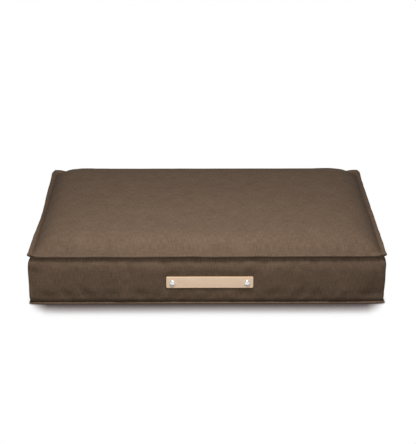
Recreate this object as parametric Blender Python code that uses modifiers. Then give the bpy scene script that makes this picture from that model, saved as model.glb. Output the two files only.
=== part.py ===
"""Pet cushion bed: a zipped cloth cover with flanged seams over a foam core and a fibre topper.

Metres, +Z up. The origin is under the middle of the bed, on the surface that it rests on.
+X runs along the front to the right, -Y faces the front with its leather label, +Y the zip.
"""

import math

import bmesh
import bpy
from mathutils import Matrix, Vector

# Overall size, over the flat faces of the boxing.
LENGTH = 0.800
DEPTH = 0.600
SEAM_HEIGHT = 0.112  # where the boxing cloth turns out into the top flange
CROWN = 0.035  # how far the filled top panel rises over its seam
CROWN_RUN = 0.140  # how far in from a seam the top goes on rising
CROWN_FULLNESS = 5  # how steeply it rises beside the seam: 3 is slack, 5 well stuffed

# Cloth, liner and clearances.
CLOTH = 0.0012
LINER = 0.0007
GAP = 0.0003
SEAM_GAP = 0.0005
THREAD = 0.0006

# Seam flanges.
FLANGE = 0.008  # reach beyond the seam
TOP_FLANGE_RISE = 0.002
BOTTOM_FLANGE_DROP = 0.006
TIP_LIFT = 0.0003  # lowest edge of the bottom flange, over the floor
BOTTOM_TUCK = 0.0144  # width over which the bottom panel lifts off the floor to its seam
STITCH_OFFSET = 0.0021  # stitching, out from the seam's fold

# Zip in the rear boxing.
ZIP_DROP = 0.052  # middle of the zip, below the top seam
END_PANEL = 0.050  # plain cloth at each end of the zip
HEM_CLEAR = 0.0019  # beside the slider, to each hemmed edge
HEM_FOLD = 0.012
HEM_STITCH = 0.003  # stitching, in from a hemmed edge
TAPE = 0.0006
TAPE_WIDTH = 0.0152
TAPE_TAIL = 0.015  # tape carried on behind each end panel
TEETH_HEIGHT = 0.0020
TEETH_WIDTH = 0.0022
CHAIN_SLOT = 0.0016  # between the two rows, for the slider's post
STOP_LENGTH = 0.004
SLIDER_LENGTH = 0.014
SLIDER_PLATE = 0.0014
SLIDER_INNER_PLATE = 0.0012
SLIDER_RAIL = 0.0013
POST_LENGTH = 0.003
BRIDGE_WIDTH = 0.0022
BRIDGE_THICKNESS = 0.0012
PULL_LENGTH = 0.030
PULL_WIDTH = 0.007
PULL_THICKNESS = 0.0012
PULL_BAR = 0.0013
PULL_PLAY = 0.0005  # of the pull's bar, under the bridge and over the plate
BRIDGE_PLAY = 0.0017  # of the bar along the slider, to each side
EYE_PLAY = 0.0003

# Label and its rivets.
LABEL_LENGTH = 0.197
LABEL_HEIGHT = 0.027
LABEL_THICKNESS = 0.0024
LABEL_X = 0.006
LABEL_DROP = 0.058  # middle of the label, below the top seam
LABEL_CORNER = 0.002
RIVET_INSET = 0.014  # from each end of the label
RIVET_DROP = 0.001  # rivets, below the label's middle
RIVET_CAP = 0.013
RIVET_DOME = 0.003
RIVET_PIN = 0.0020
RIVET_WALL = 0.0007
RIVET_BASE = 0.009
RIVET_BASE_THICKNESS = 0.001
PATCH_MARGIN = 0.008
PATCH_THICKNESS = 0.001

# Filling.
CASE_CLEAR = 0.0012
CASE_SIDE_CLEAR = 0.0018
CASE_CORNER = 0.030
TOPPER_EDGE = 0.025  # thickness of the fibre at its edges

# The grid that carries the crown, on the top panel and on the layers under it.
LINES_X = 18
LINES_Y = 14

# Values that follow.
HALF_X = LENGTH / 2
HALF_Y = DEPTH / 2
CLOTH_MID = -CLOTH / 2  # middle of the boxing cloth, out from the boxing's face
MITRE_GAP = CLOTH / 2 + GAP
TOP_SLOPE = math.atan2(TOP_FLANGE_RISE, FLANGE)
BOTTOM_SLOPE = math.atan2(BOTTOM_FLANGE_DROP, FLANGE)
PANEL_SEAM_Z = SEAM_HEIGHT + (CLOTH + SEAM_GAP) / math.cos(TOP_SLOPE)
BOTTOM_SEAM_Z = TIP_LIFT + CLOTH / 2 + BOTTOM_FLANGE_DROP
BOXING_FOOT_Z = BOTTOM_SEAM_Z + (CLOTH + GAP) / math.cos(BOTTOM_SLOPE)
FLANGE_TIP = CLOTH_MID + FLANGE
HALF_OPENING = HALF_X - END_PANEL
ZIP_HEIGHT = SEAM_HEIGHT - ZIP_DROP
TAPE_OUT = -2 * CLOTH - GAP  # outer face of the tape, just inside the folded hem
TEETH_OUT = TAPE_OUT + GAP
TEETH_TOP = TEETH_OUT + TEETH_HEIGHT
ROW_IN = CHAIN_SLOT / 2
ROW_OUT = ROW_IN + TEETH_WIDTH
PLATE_IN = TEETH_TOP + GAP
PLATE_OUT = PLATE_IN + SLIDER_PLATE
INNER_PLATE_OUT = TAPE_OUT - TAPE - GAP
INNER_PLATE_IN = INNER_PLATE_OUT - SLIDER_INNER_PLATE
RAIL_IN = ROW_OUT + GAP
SLIDER_HALF = RAIL_IN + SLIDER_RAIL
HALF_HEM_GAP = SLIDER_HALF + HEM_CLEAR
STOP_START = HALF_OPENING - STOP_LENGTH
ROW_END = STOP_START - SEAM_GAP
SLIDER_X = STOP_START - 0.001 - SLIDER_LENGTH / 2
BAR_OUT = PLATE_OUT + PULL_PLAY + PULL_THICKNESS / 2
BRIDGE_IN = PULL_BAR / 2 + BRIDGE_PLAY
BRIDGE_SPAN = BRIDGE_IN + BRIDGE_THICKNESS
BRIDGE_LOW = BAR_OUT + PULL_THICKNESS / 2 + PULL_PLAY
BRIDGE_HIGH = BRIDGE_LOW + BRIDGE_THICKNESS
PULL_EYE = math.hypot(BRIDGE_SPAN, BRIDGE_HIGH - BAR_OUT) + EYE_PLAY
LABEL_Z = SEAM_HEIGHT - LABEL_DROP
RIVET_PITCH = LABEL_LENGTH - 2 * RIVET_INSET
RIVET_BORE = RIVET_PIN + 2 * GAP
RIVET_POST = RIVET_BORE + 2 * RIVET_WALL
PATCH_OUT = -CLOTH - GAP
PATCH_IN = PATCH_OUT - PATCH_THICKNESS
RIVET_HOLE = RIVET_POST + 2 * GAP
BASE_OUT = PATCH_IN - GAP
BASE_IN = BASE_OUT - RIVET_BASE_THICKNESS
CASE_HALF_X = HALF_X - CLOTH - CASE_SIDE_CLEAR
CASE_HALF_Y = HALF_Y + min(INNER_PLATE_IN, BASE_IN) - CASE_CLEAR
CASE_BOTTOM = CLOTH + GAP
CASE_CHAMFER = BOTTOM_TUCK
CASE_EDGE_Z = PANEL_SEAM_Z - CLOTH / 2 - SEAM_GAP - LINER / 2
CASE_RIM = CASE_EDGE_Z - LINER / 2 - GAP
CORE_HALF_X = CASE_HALF_X - LINER - GAP
CORE_HALF_Y = CASE_HALF_Y - LINER - GAP
CORE_BOTTOM = CASE_BOTTOM + LINER + GAP
TOPPER_EDGE_Z = CASE_EDGE_Z - LINER / 2 - GAP - SEAM_GAP
CORE_TOP = TOPPER_EDGE_Z - TOPPER_EDGE - GAP

FRONT = 0.0
RIGHT = math.pi / 2
REAR = math.pi
LEFT = -math.pi / 2


def clear_scene():
    for obj in list(bpy.data.objects):
        bpy.data.objects.remove(obj, do_unlink=True)


def new_collection(name, hidden=False):
    collection = bpy.data.collections.new(name)
    collection.hide_render = hidden
    bpy.context.scene.collection.children.link(collection)
    return collection


clear_scene()
PARTS = new_collection("pet_cushion_bed")
CUTTERS = new_collection("cutters", hidden=True)
BED = bpy.data.objects.new("bed_frame", None)
PARTS.objects.link(BED)


def material(name, color, roughness, metallic=0.0):
    made = bpy.data.materials.new(name)
    made.use_nodes = True
    shader = made.node_tree.nodes["Principled BSDF"]
    shader.inputs["Base Color"].default_value = (*color, 1.0)
    shader.inputs["Roughness"].default_value = roughness
    shader.inputs["Metallic"].default_value = metallic
    made.diffuse_color = (*color, 1.0)
    return made


COVER = ((0.145, 0.110, 0.083), 0.92)
THREADS = ((0.060, 0.045, 0.035), 0.8)
TAPES = ((0.055, 0.042, 0.034), 0.85)
PLASTIC = ((0.050, 0.040, 0.033), 0.45)
STEEL = ((0.72, 0.72, 0.70), 0.25, 1.0)
LEATHER = ((0.74, 0.55, 0.38), 0.55)
LINING = ((0.80, 0.78, 0.74), 0.9)
FOAM = ((0.85, 0.80, 0.62), 0.95)
FIBRE = ((0.92, 0.91, 0.89), 0.95)


def add(name, mesh, look, location=(0, 0, 0), angle=0.0, parent=BED):
    obj = bpy.data.objects.new(name, mesh)
    obj.location = location
    obj.rotation_euler = (0, 0, angle)
    obj.parent = parent
    obj.data.materials.clear()
    obj.data.materials.append(material(name, *look))
    PARTS.objects.link(obj)
    return obj


def add_cutter(name, mesh, location=(0, 0, 0), rotation=(0, 0, 0)):
    obj = bpy.data.objects.new(name, mesh)
    obj.location = location
    obj.rotation_euler = rotation
    obj.hide_render = True
    obj.display_type = "WIRE"
    CUTTERS.objects.link(obj)
    return obj


def mesh_of(bm, name):
    bmesh.ops.recalc_face_normals(bm, faces=bm.faces)
    mesh = bpy.data.meshes.new(name)
    bm.to_mesh(mesh)
    bm.free()
    return mesh


def solidify(obj, thickness, offset=0.0):
    made = obj.modifiers.new("thickness", "SOLIDIFY")
    made.thickness = thickness
    made.offset = offset
    made.use_even_offset = True
    made.use_quality_normals = True
    return made


def boolean(obj, other, operation="DIFFERENCE"):
    made = obj.modifiers.new(other.name, "BOOLEAN")
    made.operation = operation
    made.object = other
    return made


def smooth(obj, angle=35):
    obj.data.shade_smooth()
    obj.data.set_sharp_from_angle(angle=math.radians(angle))


def box_mesh(name, size, centre=(0, 0, 0)):
    bm = bmesh.new()
    bmesh.ops.create_cube(bm, size=1.0)
    bmesh.ops.scale(bm, vec=size, verts=bm.verts)
    bmesh.ops.translate(bm, vec=centre, verts=bm.verts)
    return mesh_of(bm, name)


def upright_edges(bm):
    return [e for e in bm.edges if abs(e.verts[0].co.z - e.verts[1].co.z) > 1e-6]


def rounded_prism(name, half_x, half_y, low, high, corner, segments=5):
    """A block with its four upright edges rounded."""
    bm = bmesh.new()
    bmesh.ops.create_cube(bm, size=1.0)
    bmesh.ops.scale(bm, vec=(2 * half_x, 2 * half_y, high - low), verts=bm.verts)
    bmesh.ops.translate(bm, vec=(0, 0, (low + high) / 2), verts=bm.verts)
    bmesh.ops.bevel(
        bm, geom=upright_edges(bm), offset=corner, segments=segments, profile=0.5, affect="EDGES"
    )
    return bm


def curve_tube(name, points, thickness, look, cyclic=False):
    """A thread: a round tube along straight runs between the points."""
    data = bpy.data.curves.new(name, "CURVE")
    data.dimensions = "3D"
    data.bevel_depth = thickness / 2
    data.bevel_resolution = 1
    data.use_fill_caps = not cyclic
    spline = data.splines.new("POLY")
    spline.points.add(len(points) - 1)
    for point, where in zip(spline.points, points):
        point.co = (*where, 1.0)
    spline.use_cyclic_u = cyclic
    return add(name, data, look)


def extruded(name, outline, half_length):
    """A mesh of the outline, given as (out, z), run along X to both sides. Out is local -Y."""
    data = bpy.data.curves.new(name, "CURVE")
    data.dimensions = "2D"
    data.fill_mode = "BOTH"
    data.extrude = half_length
    spline = data.splines.new("POLY")
    spline.points.add(len(outline) - 1)
    for point, (across, up) in zip(spline.points, outline):
        point.co = (across, up, 0.0, 1.0)
    spline.use_cyclic_u = True
    guide = bpy.data.objects.new(name, data)
    bpy.context.scene.collection.objects.link(guide)
    bpy.context.view_layer.update()
    graph = bpy.context.evaluated_depsgraph_get()
    mesh = bpy.data.meshes.new_from_object(guide.evaluated_get(graph))
    bpy.data.objects.remove(guide, do_unlink=True)
    bm = bmesh.new()
    bm.from_mesh(mesh)
    bpy.data.meshes.remove(mesh)
    bmesh.ops.remove_doubles(bm, verts=bm.verts, dist=1e-7)
    turn = Matrix(((0, 0, -1, 0), (-1, 0, 0, 0), (0, 1, 0, 0), (0, 0, 0, 1)))
    bmesh.ops.transform(bm, matrix=turn, verts=bm.verts)
    return mesh_of(bm, name)


# ---- the crowned shape that the filling gives to what lies on it ----


def rise(distance):
    """0 at a seam, 1 from CROWN_RUN inwards, steepest at the seam."""
    share = min(max(distance, 0.0) / CROWN_RUN, 1.0)
    return 1 - (1 - share) ** CROWN_FULLNESS


def crown(x, y, half_x, half_y):
    return CROWN * rise(half_x - abs(x)) * rise(half_y - abs(y))


def spaced(half, steps):
    """Places across a width, closer together near both edges."""
    return [half * math.sin(math.pi / 2 * (2 * i / steps - 1)) for i in range(steps + 1)]


def crown_layer(name, edge_z, half_x, half_y):
    """A layer under the top panel. It bends along the panel's own lines, so the two stay apart."""
    xs = spaced(HALF_X + CLOTH_MID, LINES_X)
    ys = spaced(HALF_Y + CLOTH_MID, LINES_Y)
    return surface(name, xs, ys, lambda x, y: edge_z + crown(x, y, half_x, half_y))


def surface(name, xs, ys, height):
    """An open sheet over the grid of xs and ys."""
    bm = bmesh.new()
    bmesh.ops.create_grid(bm, x_segments=len(xs) - 1, y_segments=len(ys) - 1, size=0.5)
    for vert in bm.verts:
        i = round((vert.co.x + 0.5) * (len(xs) - 1))
        j = round((vert.co.y + 0.5) * (len(ys) - 1))
        vert.co = (xs[i], ys[j], height(xs[i], ys[j]))
    bmesh.ops.triangulate(bm, faces=bm.faces, quad_method="FIXED")
    return mesh_of(bm, name)


def with_flange(half, steps):
    seam = half + CLOTH_MID
    return [-half - FLANGE_TIP] + spaced(seam, steps) + [half + FLANGE_TIP]


def beyond_seam(x, y):
    """How far a point of a panel lies out from the seam's fold: over 0 on the flange."""
    return max(abs(x) - HALF_X, abs(y) - HALF_Y) - CLOTH_MID


def top_height(x, y):
    out = beyond_seam(x, y)
    if out > 0:
        return PANEL_SEAM_Z + out * math.tan(TOP_SLOPE)
    return PANEL_SEAM_Z + crown(x, y, HALF_X + CLOTH_MID, HALF_Y + CLOTH_MID)


def bottom_height(x, y):
    out = beyond_seam(x, y)
    if out > 0:
        return BOTTOM_SEAM_Z - out * math.tan(BOTTOM_SLOPE)
    lifted = max(0.0, 1 + out / BOTTOM_TUCK)
    return CLOTH / 2 + (BOTTOM_SEAM_Z - CLOTH / 2) * lifted


def make_panels():
    xs = with_flange(HALF_X, LINES_X)
    ys = with_flange(HALF_Y, LINES_Y)
    mesh = surface("top_panel", xs, ys, top_height)
    top = add("top_panel", mesh, COVER)
    solidify(top, CLOTH)
    smooth(top)
    # The bottom panel lies flat, with one lifted border up to its seam.
    rows = []
    for half in (HALF_X, HALF_Y):
        seam = half + CLOTH_MID
        flat = seam - BOTTOM_TUCK
        rows.append([-half - FLANGE_TIP, -seam, -flat, flat, seam, half + FLANGE_TIP])
    bottom = add("bottom_panel", surface("bottom_panel", *rows, bottom_height), COVER)
    solidify(bottom, CLOTH)


def boxing_section():
    """The boxing's cloth from its top flange down to its bottom flange, as (out, z)."""
    return [
        (FLANGE_TIP, SEAM_HEIGHT + TOP_FLANGE_RISE),
        (CLOTH_MID, SEAM_HEIGHT),
        (CLOTH_MID, BOXING_FOOT_Z),
        (FLANGE_TIP, BOXING_FOOT_Z - BOTTOM_FLANGE_DROP),
    ]


def mitred(half_run):
    return lambda out: half_run + out - MITRE_GAP


def boxing(name, face, half_across, start, end):
    """A strip of boxing. Its ends, as places along its run, follow how far out its cloth is."""
    section = boxing_section()
    bm = bmesh.new()
    bmesh.ops.create_grid(bm, x_segments=1, y_segments=len(section) - 1, size=0.5)
    for vert in bm.verts:
        out, z = section[round((vert.co.y + 0.5) * (len(section) - 1))]
        run = end(out) if vert.co.x > 0 else start(out)
        vert.co = (run, -out, z)
    place = Matrix.Rotation(face, 3, "Z") @ Vector((0, -half_across, 0))
    strip = add(name, mesh_of(bm, name), COVER, place, face)
    solidify(strip, CLOTH)
    return strip


def make_boxing():
    long_end = mitred(HALF_X)
    short_end = mitred(HALF_Y)
    panel_end = HALF_OPENING + GAP
    front = boxing("front_boxing", FRONT, HALF_Y, lambda out: -long_end(out), long_end)
    boxing("right_boxing", RIGHT, HALF_X, lambda out: -short_end(out), short_end)
    boxing("left_boxing", LEFT, HALF_X, lambda out: -short_end(out), short_end)
    boxing("rear_end_panel_left", REAR, HALF_Y, lambda out: panel_end, long_end)
    boxing("rear_end_panel_right", REAR, HALF_Y, lambda out: -long_end(out), lambda out: -panel_end)
    return front


def ribbon(points, thickness):
    """Both sides of a ribbon of cloth along the points, with its corners mitred."""
    sides = ([], [])
    for i, point in enumerate(points):
        here = Vector(point)
        before = (here - Vector(points[i - 1])).normalized() if i else None
        after = (Vector(points[i + 1]) - here).normalized() if i + 1 < len(points) else None
        first = before or after
        second = after or before
        normal = Vector((first.y + second.y, -first.x - second.x)).normalized()
        reach = thickness / 2 / normal.dot(Vector((first.y, -first.x)))
        sides[0].append(tuple(here + normal * reach))
        sides[1].append(tuple(here - normal * reach))
    return sides


def hemmed_outline(points, towards):
    """The section of a boxing strip whose last point is a hem, folded back by HEM_FOLD inside."""
    one, other = ribbon(points, CLOTH)
    inner, outer = (one, other) if one[-1][0] < other[-1][0] else (other, one)
    edge = points[-1][1]
    fold = [
        (-CLOTH, edge + towards * HEM_FOLD),
        (-2 * CLOTH, edge + towards * HEM_FOLD),
        (-2 * CLOTH, edge),
    ]
    return inner[:-1] + fold + outer[::-1]


def make_rear_boxing():
    section = boxing_section()
    upper = section[:2] + [(CLOTH_MID, ZIP_HEIGHT + HALF_HEM_GAP)]
    lower = section[:1:-1] + [(CLOTH_MID, ZIP_HEIGHT - HALF_HEM_GAP)]
    place = (0, HALF_Y, 0)
    mesh = extruded("rear_boxing_upper", hemmed_outline(upper, 1), HALF_OPENING)
    add("rear_boxing_upper", mesh, COVER, place, REAR)
    mesh = extruded("rear_boxing_lower", hemmed_outline(lower, -1), HALF_OPENING)
    add("rear_boxing_lower", mesh, COVER, place, REAR)


# ---- threads ----


def ring(out, z, corner=0.003, steps=4):
    """A closed run round the bed, this far out from the boxing's face, with rounded corners."""
    points = []
    for quarter in range(4):
        sign_x = (1, -1, -1, 1)[quarter]
        sign_y = (1, 1, -1, -1)[quarter]
        middle_x = sign_x * (HALF_X + out - corner)
        middle_y = sign_y * (HALF_Y + out - corner)
        for step in range(steps + 1):
            angle = math.pi / 2 * (quarter + step / steps)
            points.append(
                (middle_x + corner * math.cos(angle), middle_y + corner * math.sin(angle), z)
            )
    return points


def make_threads():
    lift = CLOTH / 2 + GAP + THREAD / 2
    out = CLOTH_MID + STITCH_OFFSET
    top_out = out - lift * math.sin(TOP_SLOPE)
    top_z = PANEL_SEAM_Z + STITCH_OFFSET * math.tan(TOP_SLOPE) + lift * math.cos(TOP_SLOPE)
    curve_tube("top_seam_thread", ring(top_out, top_z), THREAD, THREADS, cyclic=True)
    low_out = out + lift * math.sin(BOTTOM_SLOPE)
    low_z = BOXING_FOOT_Z - STITCH_OFFSET * math.tan(BOTTOM_SLOPE) + lift * math.cos(BOTTOM_SLOPE)
    curve_tube("bottom_seam_thread", ring(low_out, low_z), THREAD, THREADS, cyclic=True)
    # A corner seam is sewn just inside the corner, from one seam to the other.
    inset = CLOTH + GAP + THREAD / 2
    for name, side_x, side_y in (
        ("corner_thread_front_left", -1, -1),
        ("corner_thread_front_right", 1, -1),
        ("corner_thread_rear_left", -1, 1),
        ("corner_thread_rear_right", 1, 1),
    ):
        x = side_x * (HALF_X - inset)
        y = side_y * (HALF_Y - inset)
        ends = [(x, y, BOXING_FOOT_Z + CLOTH), (x, y, SEAM_HEIGHT - CLOTH)]
        curve_tube(name, ends, THREAD, THREADS)
    y = HALF_Y + GAP + THREAD / 2
    reach = HALF_OPENING - 0.001
    for name, side in (("zip_thread_upper", 1), ("zip_thread_lower", -1)):
        z = ZIP_HEIGHT + side * (HALF_HEM_GAP + HEM_STITCH)
        curve_tube(name, [(-reach, y, z), (reach, y, z)], THREAD, THREADS)
    for name, side in (("rear_end_thread_left", -1), ("rear_end_thread_right", 1)):
        x = side * (HALF_OPENING + GAP + HEM_STITCH)
        ends = [(x, y, BOXING_FOOT_Z + FLANGE / 2), (x, y, SEAM_HEIGHT - CLOTH)]
        curve_tube(name, ends, THREAD, THREADS)


# ---- zip ----


def block(name, look, size, centre):
    return add(name, box_mesh(name, size), look, centre)


def make_zip():
    tape_half = HALF_OPENING + TAPE_TAIL
    for name, side in (("upper", 1), ("lower", -1)):
        tape_z = ZIP_HEIGHT + side * (ROW_IN + TAPE_WIDTH / 2)
        tape_y = HALF_Y + TAPE_OUT - TAPE / 2
        block("zip_tape_" + name, TAPES, (2 * tape_half, TAPE, TAPE_WIDTH), (0, tape_y, tape_z))
        row_z = ZIP_HEIGHT + side * (ROW_IN + TEETH_WIDTH / 2)
        row_y = HALF_Y + TEETH_OUT + TEETH_HEIGHT / 2
        block(
            "zip_teeth_" + name,
            PLASTIC,
            (2 * ROW_END, TEETH_HEIGHT, TEETH_WIDTH),
            (0, row_y, row_z),
        )
        block(
            "zip_top_stop_" + name,
            STEEL,
            (STOP_LENGTH, TEETH_HEIGHT, TEETH_WIDTH),
            (STOP_START + STOP_LENGTH / 2, row_y, row_z),
        )
    block(
        "zip_bottom_stop",
        STEEL,
        (STOP_LENGTH, TEETH_HEIGHT, 2 * ROW_OUT),
        (-STOP_START - STOP_LENGTH / 2, HALF_Y + TEETH_OUT + TEETH_HEIGHT / 2, ZIP_HEIGHT),
    )


def union_of(name, meshes):
    """One mesh of several that overlap, joined by Booleans."""
    base = bpy.data.objects.new(name, meshes[0])
    helpers = [base]
    for number, mesh in enumerate(meshes[1:]):
        helper = bpy.data.objects.new(f"{name}_{number}", mesh)
        helpers.append(helper)
        joint = base.modifiers.new(helper.name, "BOOLEAN")
        joint.operation = "UNION"
        joint.object = helper
    for helper in helpers:
        bpy.context.scene.collection.objects.link(helper)
    bpy.context.view_layer.update()
    graph = bpy.context.evaluated_depsgraph_get()
    made = bpy.data.meshes.new_from_object(base.evaluated_get(graph))
    for helper in helpers:
        bpy.data.objects.remove(helper, do_unlink=True)
    made.name = name
    return made


def between(name, x, y, z):
    """A box given by its two ends along each axis."""
    ends = (x, y, z)
    return box_mesh(name, [b - a for a, b in ends], [(a + b) / 2 for a, b in ends])


def make_slider():
    """Two plates round the chain, joined by a post, with rails and a bridge for the pull."""
    half = SLIDER_LENGTH / 2
    wide = BRIDGE_WIDTH / 2
    lap = SLIDER_PLATE / 3
    plate = rounded_prism("plate", half, SLIDER_HALF, PLATE_IN, PLATE_OUT, SLIDER_HALF * 0.45, 3)
    bmesh.ops.rotate(plate, matrix=Matrix.Rotation(-math.pi / 2, 3, "X"), verts=plate.verts)
    inner = rounded_prism(
        "inner", half, SLIDER_HALF, INNER_PLATE_IN, INNER_PLATE_OUT, SLIDER_HALF * 0.45, 3
    )
    bmesh.ops.rotate(inner, matrix=Matrix.Rotation(-math.pi / 2, 3, "X"), verts=inner.verts)
    rail_half = half - SLIDER_HALF * 0.5
    rail_low = TAPE_OUT + GAP
    meshes = [mesh_of(plate, "plate"), mesh_of(inner, "inner")]
    for side in (1, -1):
        rail = sorted((side * RAIL_IN, side * (SLIDER_HALF - 0.0001)))
        meshes.append(between("rail", (-rail_half, rail_half), (rail_low, PLATE_IN + lap), rail))
        leg = sorted((side * BRIDGE_IN, side * BRIDGE_SPAN))
        meshes.append(between("leg", leg, (PLATE_OUT - lap, BRIDGE_HIGH - lap), (-wide, wide)))
    span = (-BRIDGE_SPAN, BRIDGE_SPAN)
    meshes.append(between("bridge", span, (BRIDGE_LOW, BRIDGE_HIGH), (-wide, wide)))
    post_half = ROW_IN - GAP
    post_end = half - 0.001
    meshes.append(
        between(
            "post",
            (post_end - POST_LENGTH, post_end),
            (INNER_PLATE_OUT - lap, PLATE_IN + lap),
            (-post_half, post_half),
        )
    )
    mesh = union_of("zip_slider", meshes)
    slider = add("zip_slider", mesh, STEEL, (SLIDER_X, HALF_Y, ZIP_HEIGHT))
    make_pull(slider)


def make_pull(slider):
    """A flat tab with an eye round the bridge. Its bar, at its origin, lies under the bridge."""
    half_w = PULL_WIDTH / 2
    eye_half = BRIDGE_WIDTH / 2 + PULL_PLAY
    tab = rounded_prism(
        "tab",
        (PULL_LENGTH + PULL_BAR / 2) / 2,
        half_w,
        -PULL_THICKNESS / 2,
        PULL_THICKNESS / 2,
        half_w * 0.35,
        3,
    )
    bmesh.ops.rotate(tab, matrix=Matrix.Rotation(math.pi / 2, 3, "X"), verts=tab.verts)
    middle = (PULL_BAR / 2 - PULL_LENGTH) / 2
    bmesh.ops.translate(tab, vec=(middle, 0, 0), verts=tab.verts)
    place = (0, BAR_OUT, 0)
    pull = add("zip_pull", mesh_of(tab, "zip_pull"), STEEL, place, parent=slider)
    eye = between(
        "pull_eye", (-PULL_EYE, -PULL_BAR / 2), (-0.01, 0.01), (-eye_half, eye_half)
    )
    cutter = add_cutter("pull_eye", eye)
    cutter.parent = pull
    boolean(pull, cutter)


# ---- label ----


def rivet_places():
    z = LABEL_Z - RIVET_DROP
    return (
        ("left", LABEL_X - RIVET_PITCH / 2, z),
        ("right", LABEL_X + RIVET_PITCH / 2, z),
    )


def turned(name, profile, look, location, steps=28):
    """A profile of (radius, forward) turned about the line that runs forward, towards -Y."""
    bm = bmesh.new()
    verts = [bm.verts.new((radius, 0, forward)) for radius, forward in profile]
    for a, b in zip(verts, verts[1:]):
        bm.edges.new((a, b))
    mesh = bpy.data.meshes.new(name)
    bm.to_mesh(mesh)
    bm.free()
    obj = add(name, mesh, look, location)
    obj.rotation_euler = (math.pi / 2, 0, 0)
    screw = obj.modifiers.new("turn", "SCREW")
    screw.axis = "Z"
    screw.steps = steps
    screw.render_steps = steps
    screw.use_merge_vertices = True
    screw.merge_threshold = 1e-6
    screw.use_smooth_shade = True
    return obj


def make_label(front):
    label_out = GAP
    label_front = label_out + LABEL_THICKNESS
    bm = rounded_prism(
        "label_strip",
        LABEL_LENGTH / 2,
        LABEL_HEIGHT / 2,
        label_out,
        label_front,
        LABEL_CORNER,
        4,
    )
    bmesh.ops.rotate(bm, matrix=Matrix.Rotation(math.pi / 2, 3, "X"), verts=bm.verts)
    label = add("label_strip", mesh_of(bm, "label_strip"), LEATHER, (LABEL_X, -HALF_Y, LABEL_Z))
    patch = rounded_prism(
        "label_patch",
        LABEL_LENGTH / 2 + PATCH_MARGIN,
        LABEL_HEIGHT / 2 + PATCH_MARGIN,
        PATCH_IN,
        PATCH_OUT,
        LABEL_CORNER + PATCH_MARGIN / 2,
        4,
    )
    bmesh.ops.rotate(patch, matrix=Matrix.Rotation(math.pi / 2, 3, "X"), verts=patch.verts)
    backing = add("label_backing", mesh_of(patch, "label_backing"), LINING, (LABEL_X, -HALF_Y, LABEL_Z))
    for side, x, z in rivet_places():
        hole = bmesh.new()
        bmesh.ops.create_cone(
            hole,
            cap_ends=True,
            segments=28,
            radius1=RIVET_HOLE / 2,
            radius2=RIVET_HOLE / 2,
            depth=0.02,
        )
        cutter = add_cutter(
            "rivet_hole_" + side, mesh_of(hole, "hole"), (x, -HALF_Y, z), (math.pi / 2, 0, 0)
        )
        for obj in (label, backing, front):
            boolean(obj, cutter)
        make_rivet(side, (x, -HALF_Y, z), label_front)


def dome(radius, height, base, steps=6):
    """Half of a shallow dome, from its top on the axis down to its rim."""
    points = []
    for step in range(steps + 1):
        angle = math.pi / 2 * step / steps
        points.append((radius * math.sin(angle), base + height * math.cos(angle)))
    return points


def make_rivet(side, place, label_front):
    seat = label_front + GAP
    rim = RIVET_DOME * 0.25
    profile = dome(RIVET_CAP / 2, RIVET_DOME - rim, seat + rim)
    profile += [
        (RIVET_CAP / 2, seat),
        (RIVET_POST / 2, seat),
        (RIVET_POST / 2, PATCH_IN),
        (RIVET_BORE / 2, PATCH_IN),
        (RIVET_BORE / 2, seat),
        (0, seat),
    ]
    turned("rivet_cap_" + side, profile, STEEL, place)
    profile = [
        (0, seat - GAP),
        (RIVET_PIN / 2, seat - GAP),
        (RIVET_PIN / 2, BASE_OUT),
        (RIVET_BASE / 2, BASE_OUT),
        (RIVET_BASE / 2, BASE_IN),
        (0, BASE_IN),
    ]
    turned("rivet_base_" + side, profile, STEEL, place)


# ---- filling ----


def make_case():
    """The liner: an open tray with chamfered bottom edges, and a crowned sheet over it."""
    bm = rounded_prism("tray", CASE_HALF_X, CASE_HALF_Y, CASE_BOTTOM, CASE_RIM, CASE_CORNER)
    foot = [
        e for e in bm.edges if all(abs(v.co.z - CASE_BOTTOM) < 1e-6 for v in e.verts)
    ]
    bmesh.ops.bevel(
        bm, geom=foot, offset=CASE_CHAMFER, segments=1, profile=0.5, affect="EDGES"
    )
    lid = [f for f in bm.faces if all(abs(v.co.z - CASE_RIM) < 1e-6 for v in f.verts)]
    bmesh.ops.delete(bm, geom=lid, context="FACES_ONLY")
    tray = add("inner_case_tray", mesh_of(bm, "inner_case_tray"), LINING)
    solidify(tray, LINER, offset=-1.0)
    sheet = crown_layer("inner_case_top", CASE_EDGE_Z, CASE_HALF_X, CASE_HALF_Y)
    top = add("inner_case_top", sheet, LINING)
    solidify(top, LINER)
    trim = rounded_prism(
        "case_trim", CASE_HALF_X, CASE_HALF_Y, CASE_BOTTOM, SEAM_HEIGHT + 2 * CROWN, CASE_CORNER
    )
    boolean(top, add_cutter("case_trim", mesh_of(trim, "case_trim")), "INTERSECT")
    smooth(top)


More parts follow.
